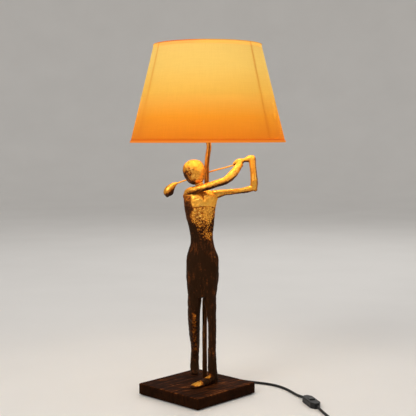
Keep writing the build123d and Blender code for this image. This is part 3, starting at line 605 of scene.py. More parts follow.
# (degrees turned, radius, height): three turns inwards on the table, then outwards on top of them
WIND = [(0, 35, 2.5), (320, 35, 2.5), (370, 30, 2.5), (680, 30, 2.5), (730, 25, 2.5), (1045, 25, 2.5), (1140, 21, 2.6),
        (1180, 21, 3.6), (1320, 21.5, 7.5), (1400, 25, 7.5), (1530, 25, 7.5), (1620, 30, 7.5), (1890, 30, 7.5),
        (1980, 35, 7.5), (2250, 35, 7.5)]
STEP = 22.5
grow = 1 / (0.75 + 0.25 * math.cos(math.radians(STEP)))
for i in range(int(2250 / STEP) + 1):
    ang = i * STEP
    r = float(np.interp(ang, [w[0] for w in WIND], [w[1] for w in WIND])) * grow
    z = float(np.interp(ang, [w[0] for w in WIND], [w[2] for w in WIND]))
    th = math.radians(-ang)
    PLUG_ROUTE.append((COIL_C[0] + r * math.cos(th), COIL_C[1] + r * math.sin(th), z))
PLUG_ROUTE += [(152.0, -311.0, 4.6), (128.5, -311.3, 2.7), (98.5, -309.5, 2.5), (69.0, -303.5, 2.5), (41.5, -293.5, 6.85)]

lead_a = cord_curve("lead_lamp_to_switch", LAMP_ROUTE)
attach(lead_a, "lamp")
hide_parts("cord_lamp_side")
lead_b = cord_curve("lead_switch_to_plug", PLUG_ROUTE)
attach(lead_b, "lamp")
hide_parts("cord_plug_side", "cord_coil", "cord_tail")

# ---------------------------------------------------------------------------
# base slab: the CAD solid's own shape, with the relief of an antique wooden block
# ---------------------------------------------------------------------------
BX, BY = -23.0, -30.0
rot = Matrix.Rotation(math.radians(-45), 4, "Z") @ Matrix.Translation((-BX * MM, -BY * MM, 0))
me = NODES["base_slab"].data.copy()
me.transform(rot)
slab = link("base_block", me)
remesh(slab, 0.0009)
co = get_co(slab.data) / MM
no = get_no(slab.data)
up_face = smoothstep(no[:, 2], 0.35, 0.9)
side_face = 1 - np.clip(np.abs(no[:, 2]), 0, 1)
g = co * np.array([0.055, 1.0, 0.35])          # grain runs along the slab's own X, from the left corner to the front corner
warpn = fbm(co * np.array([0.25, 0.25, 0.25]), 14.0, 2, 3.1)
gg = g.copy()
gg[:, 1] += 2.4 * warpn
n_grain = fbm(gg, 5.0, 4, 7.7)
n_fine = fbm(gg, 1.6, 2, 21.0)
n_big = fbm(co, 32.0, 3, 40.2)
rel = 0.62 * n_grain + 0.30 * n_fine + 0.25 * n_big
outer = np.maximum(up_face, smoothstep(side_face, 0.3, 0.9) * (np.maximum(np.abs(co[:, 0]), np.abs(co[:, 1])) > 77))
disp = outer * (0.42 * rel - 0.18)
edge = smoothstep(np.maximum(np.abs(co[:, 0]), np.abs(co[:, 1])), 76.5, 80.0) * smoothstep(co[:, 2], 18.5, 22.4)
disp -= edge * 0.35 * np.clip(fbm(co, 9.0, 3, 11.0) + 0.2, 0, 1.2)
co2 = co + no * disp[:, None]
co2[:, 2] = np.minimum(co2[:, 2], 22.95)
set_co(slab.data, co2 * MM)
attr(slab.data, "relief", np.clip(0.40 + 0.62 * rel + 0.32 * edge, 0, 1))
# 'top' marks the up-facing faces, for the painted shade on the sides
attr(slab.data, "top", up_face)
slab.data.transform(rot.inverted())
slab.data.materials.clear()
slab.data.materials.append(M["base"])
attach(slab, "lamp")
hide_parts("base_slab")

# ---------------------------------------------------------------------------
# pole: bark-like tube with a wandering lengthwise groove
# ---------------------------------------------------------------------------
POLE = [(-7.5, 0, 22.8), (-7.7, 0.3, 110), (-6.6, -0.3, 215), (-3.9, 0.2, 320), (-2.5, 0, 410), (-2.3, 0.1, 452),
        (3.4, 0, 479.5), (0, 0, 490), (0, 0, 501)]


def smooth_path(pts, n):
    cu = bpy.data.curves.new("t", "CURVE")
    cu.dimensions = "3D"
    sp = cu.splines.new("NURBS")
    sp.points.add(len(pts) - 1)
    for q, p in zip(sp.points, pts):
        q.co = (*p, 1.0)
    sp.order_u = 3
    sp.use_endpoint_u = True
    sp.resolution_u = 40
    o = bpy.data.objects.new("t", cu)
    me_ = bpy.data.meshes.new_from_object(o)
    line = np.array([v.co[:] for v in me_.vertices])
    bpy.data.objects.remove(o)
    bpy.data.curves.remove(cu)
    bpy.data.meshes.remove(me_)
    s = np.concatenate([[0], np.cumsum(np.linalg.norm(np.diff(line, axis=0), axis=1))])
    at = np.linspace(0, s[-1], n)
    return np.stack([np.interp(at, s, line[:, k]) for k in range(3)], axis=1)


NP, NS = 620, 48
pc = smooth_path(POLE, NP)
pt = np.gradient(pc, axis=0)
pt /= np.linalg.norm(pt, axis=1)[:, None]
V, REL = [], []
th = np.linspace(0, 2 * math.pi, NS, endpoint=False)
for i in range(NP):
    x = np.array([1.0, 0, 0]) - pt[i] * pt[i][0]
    x /= np.linalg.norm(x)
    y = np.cross(pt[i], x)
    z = pc[i][2]
    V.append((z, x, y))
ringpts = []
for i in range(NP):
    z, x, y = V[i]
    # facing -Y is at angle -90 degrees; the groove wanders round it
    ga = math.radians(-90 + 14 * math.sin(z / 58.0) + 12 * math.sin(z / 23.0 + 1.3)) + 0.10 * math.sin(z / 7.0)
    d1 = np.abs((th - ga + math.pi) % (2 * math.pi) - math.pi)
    d2 = np.abs((th - ga - 2.3 + math.pi) % (2 * math.pi) - math.pi)
    gr = np.exp(-(d1 / 0.20) ** 2) * (0.75 + 0.25 * math.sin(z / 17.0)) + 0.55 * np.exp(-(d2 / 0.17) ** 2)
    pn = np.stack([4.5 * np.cos(th), 4.5 * np.sin(th), np.full(NS, z * 0.10)], axis=1)
    n1 = fbm(pn, 2.6, 3, 5.0)
    n2 = fbm(np.stack([4.5 * np.cos(th), 4.5 * np.sin(th), np.full(NS, z)], axis=1), 9.0, 2, 60.0)
    rad = 4.62 - 0.95 * gr + 0.30 * n1 + 0.22 * n2
    if i in (0, NP - 1):
        rad = np.full(NS, 4.5)
    ringpts.append(pc[i] + (rad * np.cos(th))[:, None] * x + (rad * np.sin(th))[:, None] * y)
    REL.append(np.clip(0.62 - 0.75 * gr + 0.42 * n1 + 0.22 * n2, 0, 1))
# inner bore, and the threaded foot below the shoulder
for i in range(NP - 1, -1, -31):
    z, x, y = V[i]
    ringpts.append(pc[i] + (3.0 * np.cos(th))[:, None] * x + (3.0 * np.sin(th))[:, None] * y)
    REL.append(np.full(NS, 0.1))
foot = [(2.55, 22.0), (2.55, 6.6), (3.6, 6.4)]
zf = 7.2
while zf < 22.0:
    foot += [(3.95, zf), (3.55, zf + 0.5)]
    zf += 1.0
foot += [(3.95, 22.6)]
for r_, z_ in foot:
    ringpts.append(np.array([-7.5, 0, z_]) + np.stack([r_ * np.cos(th), r_ * np.sin(th), np.zeros(NS)], axis=1))
    REL.append(np.full(NS, 0.8))
F = []
nr = len(ringpts)
for i in range(nr):
    k_ = (i + 1) % nr
    for j in range(NS):
        jj = (j + 1) % NS
        F.append((i * NS + j, i * NS + jj, k_ * NS + jj, k_ * NS + j))
pole = link("pole_bark", mesh_of(np.concatenate(ringpts) * MM, F, "pole_bark"), M["pole"])
attr(pole.data, "relief", np.concatenate(REL))
attr(pole.data, "darker_low", 1 - smoothstep(get_co(pole.data)[:, 2] / MM, 170, 330))
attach(pole, "lamp")
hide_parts("pole_tube")

# ---------------------------------------------------------------------------
# the figure
# ---------------------------------------------------------------------------
TORSO = [
    (-12.3, -23.5, 192, 27.5, 14.0), (-12.2, -24.0, 205, 28.9, 15.8), (-11.6, -24.5, 229, 31.0, 17.5),
    (-11.5, -25.0, 250, 31.3, 18.0), (-11.6, -25.0, 266, 30.6, 17.5), (-12.2, -25.0, 283, 25.2, 15.5),
    (-12.3, -25.0, 299, 21.4, 14.0), (-13.2, -25.0, 314, 22.3, 14.2), (-14.0, -25.5, 330, 24.8, 15.3),
    (-15.3, -26.0, 345, 27.4, 16.6), (-15.9, -26.5, 361, 29.7, 17.8), (-15.0, -26.0, 376, 32.0, 17.4),
    (-15.0, -25.5, 386, 31.0, 14.5), (-15.5, -25.0, 393, 24.0, 10.5)]
LEG_TRAIL = [
    (-26.0, -24.0, 208, 13.5, 13.5), (-27.0, -23.5, 186, 13.2, 13.2), (-28.0, -21.5, 166, 12.0, 12.6),
    (-28.2, -14.0, 149, 11.6, 12.0), (-27.9, 4.0, 128, 11.3, 10.9), (-26.9, 26.0, 102, 10.0, 9.6),
    (-25.8, 45.0, 78, 8.6, 8.5), (-26.3, 54.0, 60, 8.3, 8.9), (-27.2, 51.0, 42, 8.5, 7.9),
    (-27.0, 44.0, 30, 8.9, 6.3), (-26.6, 36.0, 26.2, 8.7, 4.6), (-26.5, 30.5, 24.6, 6.8, 3.0)]
LEG_FRONT = [
    (1.0, -24.0, 208, 14.0, 14.0), (3.0, -26.0, 183, 12.0, 12.8), (5.0, -28.5, 162, 9.6, 11.4),
    (6.2, -30.5, 140, 8.3, 10.4), (6.5, -32.0, 115, 7.7, 9.6), (6.4, -33.0, 90, 7.7, 9.0),
    (6.2, -33.5, 65, 8.2, 8.8), (7.2, -33.5, 48, 8.8, 9.2), (8.5, -33.0, 34, 8.4, 9.2), (9.0, -32.8, 22, 8.2, 9.0)]
FOOT_FRONT = [
    (15.2, -27.6, 29.0, 4.5, 5.0), (11.5, -31.0, 30.0, 7.8, 8.6), (3.0, -38.6, 31.0, 8.2, 8.6),
    (-7.0, -47.6, 29.0, 8.6, 7.2), (-18.0, -57.4, 26.8, 9.6, 5.6), (-27.5, -65.8, 25.6, 8.8, 4.2),
    (-33.2, -70.9, 24.8, 5.0, 2.8)]
NECK = [(-15.0, -25.0, 384, 11.5, 9.5), (-16.0, -25.5, 396, 8.6, 8.2), (-17.5, -26.5, 410, 7.8, 7.8)]
ARM_R = [(-38.1, -26.5, 390.0, 8.0), (-32.0, -33.0, 394.6, 7.4), (-24.4, -38.0, 397.0, 6.7),
         (-15.9, -41.5, 399.5, 6.4), (-6.5, -44.0, 402.0, 6.4), (2.9, -46.0, 405.1, 6.5), (12.3, -47.5, 408.2, 6.4),
         (22.3, -48.0, 411.4, 6.5), (31.8, -46.5, 414.3, 7.0)]
FORE_R = [(31.8, -46.5, 414.3, 7.0), (40.6, -40.5, 420.6, 7.4), (48.5, -33.0, 428.2, 7.4), (55.3, -24.0, 436.9, 6.9),
          (61.3, -15.5, 444.4, 6.1)]
FIST_R = [(50.0, -10.5, 444.9, 2.6), (53.8, -11.0, 446.7, 4.4), (59.6, -12.0, 449.0, 5.8), (65.7, -12.6, 450.7, 4.8)]
ARM_L = [(10.0, -24.5, 386.2, 8.8), (21.5, -24.2, 388.8, 7.1), (32.1, -24.0, 390.9, 5.4), (42.6, -24.0, 391.9, 4.9),
         (55.0, -24.2, 392.9, 4.8), (68.5, -24.0, 394.9, 5.0), (79.0, -23.4, 397.3, 5.4), (87.3, -23.0, 400.0, 5.9)]
FORE_L = [(87.3, -23.0, 400.0, 6.3), (88.0, -21.8, 410.6, 6.8), (87.3, -19.6, 424.0, 6.1), (86.2, -17.0, 437.3, 5.8),
          (85.2, -14.8, 447.8, 6.1), (84.7, -13.5, 455.4, 6.3)]
HAND_L = [(84.7, -13.5, 455.6, 6.3), (79.7, -13.1, 454.9, 5.9), (74.9, -12.8, 453.6, 4.6), (69.9, -12.5, 452.4, 3.6),
          (66.0, -12.4, 451.4, 3.2)]
CLUB = [(-60.2, 18.2, 407.1, 2.5, 2.5), (-63.4, 19.0, 405.3, 3.8, 3.6), (-67.7, 20.0, 402.3, 5.8, 5.4),
        (-72.1, 21.4, 397.7, 8.0, 7.4), (-75.4, 22.6, 393.0, 9.7, 9.0), (-77.7, 23.6, 388.4, 9.7, 9.0),
        (-79.1, 24.4, 384.2, 7.3, 6.8), (-79.7, 25.0, 381.0, 3.3, 3.1)]
SHAFT = [(61.5, -12.6, 446.3), (36.7, -7.0, 438.5), (15.6, -0.5, 433.2), (-3.6, 7.2, 427.2), (-23.0, 11.5, 420.1),
         (-43.5, 15.2, 412.6), (-62.5, 18.6, 406.2)]
CHIN, CROWN = np.array([-19.6, -27.2, 406.2]), np.array([-33.0, -23.0, 453.8])


FULL = 0.45                       # the smoothing after the remesh takes this much off a limb


def limb(st, **kw):
    return loft([(x, y, z, r + FULL, r + FULL) for x, y, z, r in st], **kw)


VOX = 0.00085
d_foot = np.array(FOOT_FRONT[-1][:3]) - np.array(FOOT_FRONT[0][:3])
d_foot[2] = 0
d_foot /= np.linalg.norm(d_foot)
foot_side = np.array([-d_foot[1], d_foot[0], 0.0])

body = combine("figure_torso_legs", [
    loft(TORSO, mode="flat", seg=56, power=2.35, round0=4.0, round1=4.0),
    loft(LEG_TRAIL, mode="x", seg=40, power=2.2, round0=5.0, round1=2.0),
    loft(LEG_FRONT, seg=40, power=2.2, round0=5.0, round1=1.0),
    loft(FOOT_FRONT, mode="foot", seg=36, round0=3.0, round1=2.2, side=foot_side),
    loft(NECK, seg=28, round0=2.0, round1=2.0),
    ball((-39.0, -26.0, 384.0), 9.4), ball((9.0, -24.5, 381.5), 9.6), ball((-29.0, -19.0, 152.0), 11.2)])
remesh(body, VOX, smooth=7)
co = get_co(body.data) / MM
no = get_no(body.data)
x, y, z = co.T
front = smoothstep(-no[:, 1], 0.1, 0.7)
ax = -11.9 + (z - 300) * -0.035                     # centre line of the trunk
trunk = smoothstep(z, 186, 205)
# belly: pebbled; chest plate: smooth with a stepped lower edge; hollow at the breastbone
crease = 364.9 + 1.0 * np.sin((x + 14) / 6.5) - 0.02 * (x + 12)
dz = z - crease
belly = smoothstep(-dz, -0.6, 1.4) * smoothstep(z, 286, 312)
chest = smoothstep(dz, -1.0, 1.2) * smoothstep(z, 330, 366)
peb1, peb1b = cells(co + 0.6 * np.stack([fbm(co, 9, 2, 1.0), fbm(co, 9, 2, 2.0), fbm(co, 9, 2, 3.0)], 1), 3.9, 2.2)
peb2, peb2b = cells(co, 2.2, 9.1)
ridge1 = smoothstep(peb1b - peb1, 0.02, 0.30)        # 0 in the joints between cells
ridge2 = smoothstep(peb2b - peb2, 0.02, 0.30)
lump = fbm(co, 15.0, 3, 4.4)
hammer = fbm(co, 6.0, 3, 14.4)
patch = fbm(co, 10.5, 3, 91.0)
stretch = co * np.array([1.0, 1.0, 0.13])
strk = fbm(stretch, 3.4, 4, 31.0)
low = 1 - smoothstep(z, 288, 318)
# the flank: painted shade down the figure's right side, ending at a ragged edge where the bright leaf begins
edge_x = np.interp(z, [296, 305, 316, 324, 332, 338, 353, 358, 361, 368, 386], [-16.0, -17.0, -19.5, -23.0, -28.0, -31.0, -31.5, -29.5, -28.0, -30.5, -32.6])
edge_x = edge_x + 2.2 * fbm(co, 7.0, 3, 44.0)
flank = smoothstep(edge_x - x, -3.0, 5.0) * smoothstep(z, 292, 312)
disp = 0.50 * lump + 0.24 * hammer
disp += belly * front * (1.25 * (ridge1 - 0.6) + 0.45 * (ridge2 - 0.6)) * (1 - 0.6 * flank)
disp += belly * (1 - front) * (0.35 * (ridge1 - 0.6))
disp += low * 0.75 * strk + (1 - low) * (1 - chest * front) * 0.20 * strk
fold = fbm(co + 2.0 * np.stack([fbm(co, 6, 2, 61.0), fbm(co, 6, 2, 62.0), fbm(co, 6, 2, 63.0)], 1), 5.5, 3, 64.0)
disp += 0.55 * chest * front * fold
# the chest plate stands proud of the belly by a broken ledge
disp += front * smoothstep(z, 352, 362) * (1 - smoothstep(z, 384, 391)) * np.where(dz > 0, 0.7, -0.1) * smoothstep(np.abs(x + 10), 29, 17)
disp -= front * 0.9 * np.exp(-(dz / 0.9) ** 2) * smoothstep(np.abs(x + 9.5), 22, 16)
# the plate's own edge along the figure's right side
disp -= 0.9 * front * chest * flank * (1 - smoothstep(z, 386, 392))
# hollow below the throat: a V open upwards, leaning to the figure's left as it goes down
vx = x + 8.4 + 0.36 * (z - 378)
vv = np.exp(-(vx / (1.6 + 0.26 * np.clip(z - 377, 0, 20))) ** 2) * smoothstep(z, 373, 380) * (1 - smoothstep(z, 391, 396))
disp -= front * 1.25 * vv
# a shallow groove between the thighs
disp -= 2.2 * front * np.exp(-((x + 11.5) / 3.2) ** 2) * (1 - smoothstep(z, 188, 250)) * smoothstep(z, 176, 190)
sole = 1 - smoothstep(z, 23.6, 27)
disp *= 1 - 0.8 * sole
co2 = co + no * disp[:, None]
co2[:, 2] = np.maximum(co2[:, 2], 22.2)
set_co(body.data, co2 * MM)
mid_b = np.interp(z, [286, 296, 304, 314, 318, 334, 342, 350], [0.0, 0.5, 0.9, 0.9, 1.0, 1.0, 0.35, 0.15])      # mottled below, clean above
pit = (1 - ridge1) * belly * (0.34 + 0.40 * mid_b) + (1 - ridge2) * belly * (0.08 + 0.20 * mid_b)
pit += np.clip(-hammer, 0, 1) * 0.26 * (1 - 0.6 * chest)
pit *= 1 - 0.75 * flank
pit += front * (0.50 * np.exp(-(dz / 1.2) ** 2) * smoothstep(np.abs(x + 9.5), 23, 17) + 0.60 * vv)
pit += np.clip(-strk, 0, 1) * (0.20 + 0.35 * low)
# darker towards the feet: partly a darker patina low on the figure, partly painted shade of the lamp's light falling
# off downwards
dark = np.interp(z, [24, 60, 120, 190, 238, 270, 288, 301, 306, 314, 318, 332, 340, 350, 368],
                 [1.05, 1.05, 1.08, 1.10, 1.12, 1.10, 0.98, 0.68, 0.28, 0.12, 0.22, 0.14, -0.12, -0.14, -0.12])
dark = dark + np.interp(z, [300, 330, 350, 364, 372, 388], [0.70, 0.84, 0.98, 0.96, 0.86, 0.66]) * flank - 0.30 * low * np.clip(strk, 0, 1)
dark += belly * 0.55 * mid_b * np.clip(patch + 0.1, 0, 1)
dark = np.where(z > 386, dark * 0.6, dark)
# painted shade on faces turned to +X and on the chest's upper right under the arms; the chest's fold hollows darker too
side_r_shade = smoothstep(no[:, 0], 0.35, 0.9) * smoothstep(z, 300, 320)
dark += 0.45 * side_r_shade * (1 - smoothstep(z, 366, 376)) + 0.34 * chest * front * np.clip(-fold + 0.05, 0, 1) + 0.30 * chest * front * smoothstep(x, 2, 12) * smoothstep(z, 374, 384)
# painted highlight: the trailing shin lighter where it faces up and forward
shin_highlight = np.exp(-((x + 27.3 + 0.02 * (z - 100)) / 4.6) ** 4) * smoothstep(z, 66, 76) * (1 - smoothstep(z, 156, 163)) * smoothstep(-no[:, 1] + 0.4 * no[:, 2], 0.1, 0.6)
toes = (1 - smoothstep(z, 31, 38)) * smoothstep(no[:, 2], 0.1, 0.6)
# painted highlight on the front foot: the upturned forefoot and a spot on the instep come out lighter gold
fore = (1 - smoothstep(np.hypot(x + 23.5, (y + 62.5)), 7.0, 14.0)) * toes
instep = (1 - smoothstep(np.hypot(x + 2.5, y + 43.0), 3.5, 8.0)) * smoothstep(z, 26, 30) * (1 - smoothstep(z, 40, 46)) * smoothstep(-no[:, 1] + no[:, 2], 0.2, 0.9)
dark -= 0.56 * shin_highlight * (1 + 0.6 * np.clip(hammer, -1, 1)) + 0.95 * fore + 0.95 * instep
attr(body.data, "pit", np.clip(pit, 0, 1))
attr(body.data, "dark", np.clip(dark, 0, 1.3))
body.data.materials.append(M["gold"])
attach(body, "lamp")
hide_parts("figure_body")

# head: an egg without a face, with torn leaf edges
ax_h = CROWN - CHIN
hl = float(np.linalg.norm(ax_h))
ax_h /= hl
egg_prof = catmull([(0.01, 0), (9.5, 2.6), (16.3, 9.5), (20.2, 19.0), (21.3, 29.0), (18.6, 39.5), (11.4, 46.2), (0.01, hl)], 6)
hx = np.array([1.0, 0, 0]) - ax_h * ax_h[0]
hx /= np.linalg.norm(hx)
hy = np.cross(ax_h, hx)
SEG = 56
V = []
for r_, t_ in egg_prof:
    for j in range(SEG):
        q = 2 * math.pi * j / SEG
        V.append(CHIN + ax_h * t_ + max(r_, 0.05) * (math.cos(q) * hx + 0.97 * math.sin(q) * hy))
F = [(i * SEG + j, i * SEG + (j + 1) % SEG, (i + 1) * SEG + (j + 1) % SEG, (i + 1) * SEG + j)
     for i in range(len(egg_prof) - 1) for j in range(SEG)]
F.append(tuple(range(SEG))[::-1])
F.append(tuple((len(egg_prof) - 1) * SEG + j for j in range(SEG)))
head = combine("figure_egg_head", [(np.array(V), F)])
remesh(head, VOX, smooth=2)
co = get_co(head.data) / MM
no = get_no(head.data)
lump = fbm(co, 12.0, 3, 8.0)
rough_ = fbm(co, 4.2, 3, 51.0)
q3 = 1.8 * np.stack([fbm(co, 8, 2, 1.5), fbm(co, 8, 2, 2.5), fbm(co, 8, 2, 3.5)], 1)
c1, c1b = cells(co + q3, 7.0, 5.5)
seam = (1 - smoothstep(c1b - c1, 0.0, 0.12)) * smoothstep(fbm(co, 10, 2, 13.0), -0.3, 0.3)
disp = 0.45 * lump + 0.24 * rough_ - 0.28 * seam
set_co(head.data, (co + no * disp[:, None]) * MM)
attr(head.data, "pit", np.clip(0.40 * seam + 0.36 * np.clip(-rough_, 0, 1), 0, 1))
# one broad darker patch towards the lower left of the front, fading into the gold: partly a darker patina, partly
# painted shade
dd = np.minimum(-(co[:, 0] + 38) * 0.77 - (co[:, 2] - 436) * 0.64, (440 - co[:, 2])) + 3.5 * fbm(co, 16, 2, 77.0)
lowl = smoothstep(dd, -3, 13)
torn = fbm(co, 5.0, 4, 131.0)
# painted shade on the head's side turned to +X
right_side_shade_h = smoothstep(no[:, 0], 0.45, 0.95)
attr(head.data, "dark", np.clip(0.02 + 0.84 * lowl * (1 - 0.35 * np.clip(-torn, 0, 1)) + 0.62 * np.clip(torn, 0, 1) * smoothstep(dd, -26, 4) + 0.34 * right_side_shade_h + 0.22 * np.clip(-lump, 0, 1), 0, 1.1))
head.data.materials.append(M["gold"])
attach(head, "lamp")
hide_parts("figure_head")


def cast_limb(name, parts, node, seed, groove=None, dark0=0.04, underside_shade0=-0.08):
    o = combine(name, parts)
    remesh(o, VOX, smooth=5)
    c = get_co(o.data) / MM
    n = get_no(o.data)
    lp = fbm(c, 10.0, 3, seed)
    rg = fbm(c, 3.4, 3, seed + 9)
    d = 0.55 * lp + 0.30 * rg
    pit_ = np.clip(-rg, 0, 1) * 0.52
    if groove is not None:
        gm = groove(c, n)
        d -= 0.75 * gm
        pit_ += 0.8 * gm
    set_co(o.data, (c + n * d[:, None]) * MM)
    # painted shade: the limbs' undersides darker, and the left forearm's side turned to +X
    underside_shade = smoothstep(-n[:, 2] + 0.24 * fbm(c, 6.0, 3, seed + 40), underside_shade0, underside_shade0 + 0.74)
    outer_side_shade = smoothstep(n[:, 0], 0.35, 0.95) * smoothstep(c[:, 0], 70, 84)
    attr(o.data, "pit", np.clip(pit_ + 0.12 * np.clip(-lp, 0, 1), 0, 1))
    attr(o.data, "dark", np.clip(dark0 + 0.80 * underside_shade + 0.55 * outer_side_shade + 0.22 * np.clip(lp, 0, 1), 0, 1))
    o.data.materials.append(M["gold"])
    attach(o, "lamp")
    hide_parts(node)
    return o


def groove_r(c, n):
    t = c[:, 0]
    a1 = np.arctan2(n[:, 2], -n[:, 1])               # 0 faces the viewer, negative is below
    w = a1 + 0.62 + 0.35 * np.sin(t / 9.0)
    return np.exp(-(w / 0.15) ** 2) * smoothstep(t, -30, -18) * (1 - smoothstep(t, 46, 56)) * (0.55 + 0.45 * np.sin(t / 6.0))


arm_r = cast_limb("figure_right_arm", [
    limb(ARM_R, round0=6.0, round1=3.0), ball(ARM_R[0][:3], 8.4), ball(ARM_R[-1][:3], 7.5),
    limb(FORE_R, round0=3.0, round1=3.0), limb(FIST_R, round0=2.0, round1=3.6), ball(FIST_R[2][:3], 6.0)],
    "figure_arm_right", 3.0, groove_r, underside_shade0=-0.15)
arm_l = cast_limb("figure_left_arm", [
    limb(ARM_L, round0=5.0, round1=2.0), ball(ARM_L[-1][:3], 6.6), limb(FORE_L, round0=2.0, round1=2.5),
    ball(FORE_L[-1][:3], 6.4), limb(HAND_L, round0=2.0, round1=2.0), ball((90.2, -22.8, 396.4), 4.0)],
    "figure_arm_left", 23.0,
    lambda c, n: np.exp(-((np.arctan2(n[:, 2], -n[:, 1]) + 0.3 + 0.3 * np.sin(c[:, 0] / 8)) / 0.16) ** 2)
    * smoothstep(c[:, 0], 22, 32) * (1 - smoothstep(c[:, 0], 66, 80)) * 0.8, dark0=0.0, underside_shade0=0.12)

club = combine("club_head_cast", [loft(CLUB, seg=40, round0=1.0, round1=2.0)])
remesh(club, VOX, smooth=3)
co = get_co(club.data) / MM
no = get_no(club.data)
lp = fbm(co, 11.0, 3, 70.0)
rg = fbm(co, 3.2, 3, 80.0)
set_co(club.data, (co + no * (0.36 * lp + 0.20 * rg)[:, None]) * MM)
attr(club.data, "pit", np.clip(0.35 * np.clip(-rg, 0, 1), 0, 1))
# painted shade: the club head darker towards its lower end and on its faces turned to +X
club_low_shade = smoothstep(-(co[:, 2] - 396.0) * 0.85 + (co[:, 0] + 74) * 0.45 + 1.5 * fbm(co, 8.0, 2, 90.0), -3.0, 9.0)
attr(club.data, "dark", np.clip(0.02 + 1.0 * club_low_shade + 0.35 * smoothstep(no[:, 0], 0.3, 0.9), 0, 1.1))
club.data.materials.append(M["club"])
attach(club, "lamp")
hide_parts("club_head")

sp = smooth_path(SHAFT, 160)
tt = np.gradient(sp, axis=0)
tt /= np.linalg.norm(tt, axis=1)[:, None]
rings_ = []
th = np.linspace(0, 2 * math.pi, 16, endpoint=False)
for i in range(len(sp)):
    xx = np.array([0, 1.0, 0]) - tt[i] * tt[i][1]
    xx /= np.linalg.norm(xx)
    yy = np.cross(tt[i], xx)
    rr = 1.38 + 0.07 * math.sin(i * 0.9) * math.sin(i * 0.23) + 0.05 * math.sin(i * 2.1)
    rings_.append(sp[i] + (rr * np.cos(th))[:, None] * xx + (rr * np.sin(th))[:, None] * yy)
V = np.concatenate(rings_)
n_ = len(rings_)
F = [(i * 16 + j, i * 16 + (j + 1) % 16, (i + 1) * 16 + (j + 1) % 16, (i + 1) * 16 + j) for i in range(n_ - 1) for j in range(16)]
F += [tuple(range(16))[::-1], tuple((n_ - 1) * 16 + j for j in range(16))]
shaft = link("club_shaft_wire", mesh_of(V * MM, F, "shaft"), M["club"])
attr(shaft.data, "pit", np.zeros(len(V)))
attr(shaft.data, "dark", np.full(len(V), 0.12))
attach(shaft, "lamp")
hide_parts("club_shaft")

# ---------------------------------------------------------------------------
# shade: one sheet of cloth lapped at the back, with rolled hems over the rings
# ---------------------------------------------------------------------------
SR0, SZ0, SR1, SZ1 = 150.0, 486.4, 103.5, 673.2
SLOPE = (SR0 - SR1) / (SZ1 - SZ0)
SLANT = math.hypot(SR0 - SR1, SZ1 - SZ0)
STRUT_AZ = (49.0, -62.0, 173.5)
SEAM_AZ = 160.0


def az_xy(az, r_):
    q = math.radians(az)
    return r_ * math.sin(q), -r_ * math.cos(q)


NA, NZ = 720, 96
lap = 360.0 * 9.0 / (2 * math.pi * 126.0)
azs = np.linspace(SEAM_AZ, SEAM_AZ + 360.0 + lap, NA + 10)
for sa in (298.0, 409.0, 173.5):                     # more columns over the upright wires
    azs = np.append(azs, sa + np.arange(-1.3, 1.31, 0.13))
azs = np.unique(np.round(np.sort(azs), 3))
zs = np.linspace(SZ0 + 0.6, SZ1 - 0.6, NZ)
V, UVW = [], []
for iz, zz in enumerate(zs):
    s_ = (zz - SZ0) / (SZ1 - SZ0)
    r0 = SR0 - SLOPE * (zz - SZ0)
    pts = np.array([(math.cos(math.radians(q)) * 100, math.sin(math.radians(q)) * 100, zz) for q in azs])
    wob = fbm(pts, 55.0, 2, 12.0) * 0.22
    for ia, q in enumerate(azs):
        r_ = r0 - 0.62 + wob[ia] * math.sin(math.pi * s_)
        for sa in STRUT_AZ:
            dd = ((q - sa + 180) % 360 - 180)
            r_ += 0.16 * math.exp(-(dd / 1.4) ** 2) * math.sin(math.pi * min(1, s_ * 1.02))
        over = q - (SEAM_AZ + 360.0)
        if over > -0.8:                              # the lap lies on the first edge
            r_ += 0.62 * min(1.0, (over + 0.8) / 0.8)
        xx, yy = az_xy(q, r_)
        V.append((xx, yy, zz))
        UVW.append((math.radians(q) * 0.127, s_ * SLANT * MM, s_))
W = len(azs)
F = [(i * W + j, i * W + j + 1, (i + 1) * W + j + 1, (i + 1) * W + j) for i in range(NZ - 1) for j in range(W - 1)]
cover = link("shade_linen_cover", mesh_of(np.array(V) * MM, F, "cover"), M["fabric"])
attr3(cover.data, "cloth", UVW)
near = np.full(len(azs), 99.0)
for sa in STRUT_AZ:
    near = np.minimum(near, np.abs((azs - sa + 180) % 360 - 180))
# painted wire shadows: strongest near the top, widening and fading downwards
wire_shadow_c = []
for zz in zs:
    s_ = (zz - SZ0) / (SZ1 - SZ0)
    r0 = SR0 - SLOPE * (zz - SZ0)
    d_mm = np.radians(near) * r0
    wide = 1.7 + 5.5 * (1 - s_)
    wire_shadow_c.append(np.exp(-(d_mm / wide) ** 2) * (0.04 + 0.74 * s_ ** 1.5))
attr(cover.data, "wire", np.concatenate(wire_shadow_c))
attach(cover, "shade")
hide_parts("shade_cover")


